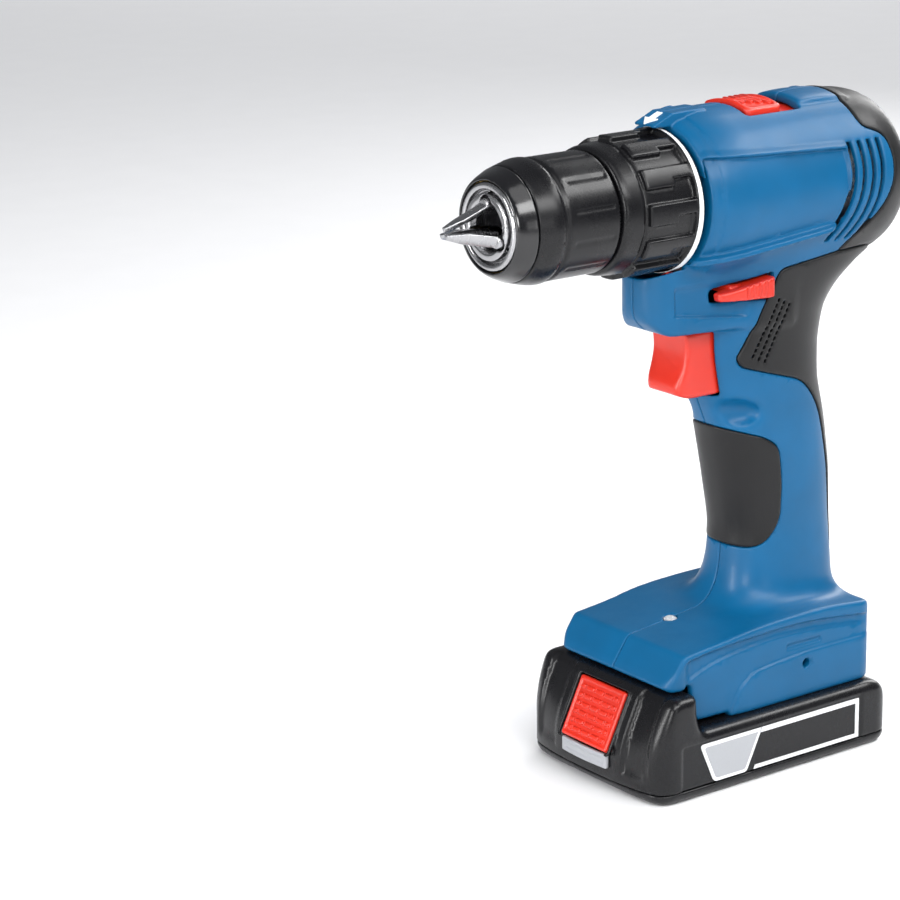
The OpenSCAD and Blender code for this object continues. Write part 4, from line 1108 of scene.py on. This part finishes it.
add(band, "collar", ["torque_scale"], MAT["white_print"])

# badge and lines on each side of the pack
Y0, Y1 = BATT_HW - 1.3, BATT_HW + 0.05
BADGE_SIDE = [(8.2, 20.6), (15.6, 5.2), (31.2, 5.2), (37.8, 20.6)]
BADGE_RIM = rounded(BADGE_SIDE, [0.3, 1.4, 1.6, 1.8])
BADGE_FACE = rounded(inset(BADGE_SIDE, 1.25), [0.3, 1.0, 1.2, 1.3])
BADGE_RISE = 0.14
RULE_TOP = rounded([(-40, 18.8), (9.4, 18.8), (9, 20.6), (-40, 20.6)], 0.2)
RULE_LOW = rounded([(-40, 5.3), (12.0, 5.3), (11.4, 6.7), (-40, 6.7)], 0.2)
RULE_END = rounded([(-40, 6.7), (-38.4, 6.7), (-38.4, 18.8), (-40, 18.8)], 0.1)
for s, tag in ((1, "left"), (-1, "right")):
    shapes = [
        ("badge_rim_" + tag, BADGE_RIM, 0.0, MAT["label_print"]),
        ("badge_" + tag, BADGE_FACE, BADGE_RISE, BADGE),
        ("rule_top_" + tag, RULE_TOP, 0.0, MAT["label_print"]),
        ("rule_low_" + tag, RULE_LOW, 0.0, MAT["label_print"]),
        ("rule_end_" + tag, RULE_END, 0.0, MAT["label_print"]),
    ]
    for name, outline, rise, mat in shapes:
        ob = prism(name, outline, s * Y0, s * (Y1 + rise))
        finish_edges(ob, 0.08, 40, 2)
        add(ob, "battery", ["battery_labels"], mat)

# ---------------------------------------------------------------- stage, light and camera

LO, HI = (Vector(v) for v in CAD_BOX)
CENTRE = (LO + HI) / 2

bpy.ops.mesh.primitive_plane_add(size=8, location=(CENTRE.x, CENTRE.y, LO.z))
floor = bpy.context.object
floor.name = "floor"
m = Nodes("floor")
pale = m.mix(m.noise(30, 4), (0.90, 0.90, 0.91), (0.93, 0.93, 0.94))
floor.data.materials.append(m.set(Base_Color=pale, Roughness=0.75))

world = bpy.data.worlds.new("world")
bpy.context.scene.world = world
world.use_nodes = True
bg = world.node_tree.nodes["Background"]
bg.inputs["Color"].default_value = (0.92, 0.95, 1.0, 1)
bg.inputs["Strength"].default_value = 0.22

# the camera fitted to the picture
CAMERA_AT = Vector((0.698602, 0.802440, 0.421665))
FORWARD = Vector((-0.570834, -0.773155, -0.276334))
UPWARD = Vector((-0.174462, -0.214618, 0.960990))
back = -FORWARD.normalized()
right = FORWARD.cross(UPWARD).normalized()
up = right.cross(FORWARD.normalized())
cam_data = bpy.data.cameras.new("camera")
cam_data.sensor_width = 36
cam_data.lens = 120.43
cam_data.shift_x = -0.0333
cam_data.clip_start = 0.05
cam = bpy.data.objects.new("camera", cam_data)
bpy.context.scene.collection.objects.link(cam)
cam.matrix_world = Matrix(((right.x, up.x, back.x, CAMERA_AT.x),
                           (right.y, up.y, back.y, CAMERA_AT.y),
                           (right.z, up.z, back.z, CAMERA_AT.z),
                           (0, 0, 0, 1)))
bpy.context.scene.camera = cam


def area(name, size, power, az, el, dist, target=CENTRE):
    """A rectangular light at dist from its target, by azimuth and elevation in degrees."""
    d = bpy.data.lights.new(name, "AREA")
    d.shape = "RECTANGLE"
    d.size, d.size_y = size
    d.energy = power
    ob = bpy.data.objects.new(name, d)
    bpy.context.scene.collection.objects.link(ob)
    a, e = math.radians(az), math.radians(el)
    pos = Vector((math.cos(a) * math.cos(e), math.sin(a) * math.cos(e), math.sin(e))) * dist + target
    ob.location = pos
    ob.rotation_euler = (target - pos).to_track_quat("-Z", "Y").to_euler()
    return ob


area("key", (1.2, 0.42), 15, 84, 42, 1.3)
area("side_fill", (0.5, 0.4), 1.6, 86, 8, 1.5)
area("low_front", (0.5, 0.35), 8, 32, 12, 1.6)
area("front_strip", (0.2, 0.9), 11, 352, 14, 1.3)
area("rim", (0.3, 1.0), 6, 205, 25, 1.3)
area("edge", (0.9, 0.3), 9, 154, 47, 1.3)
# lights only the floor behind the drill, and shows in no reflection
backdrop = area("backdrop", (1.6, 1.6), 30, 230, 46, 2.6, Vector((-1.1, -1.3, 0)))
backdrop.visible_glossy = False
sun = bpy.data.lights.new("sun", "SUN")
sun.energy = 0.45
sun.angle = 0.6
sun_ob = bpy.data.objects.new("sun", sun)
sun_ob.rotation_euler = (math.radians(-20), math.radians(12), 0)
bpy.context.scene.collection.objects.link(sun_ob)
bpy.context.scene.view_settings.view_transform = "Standard"
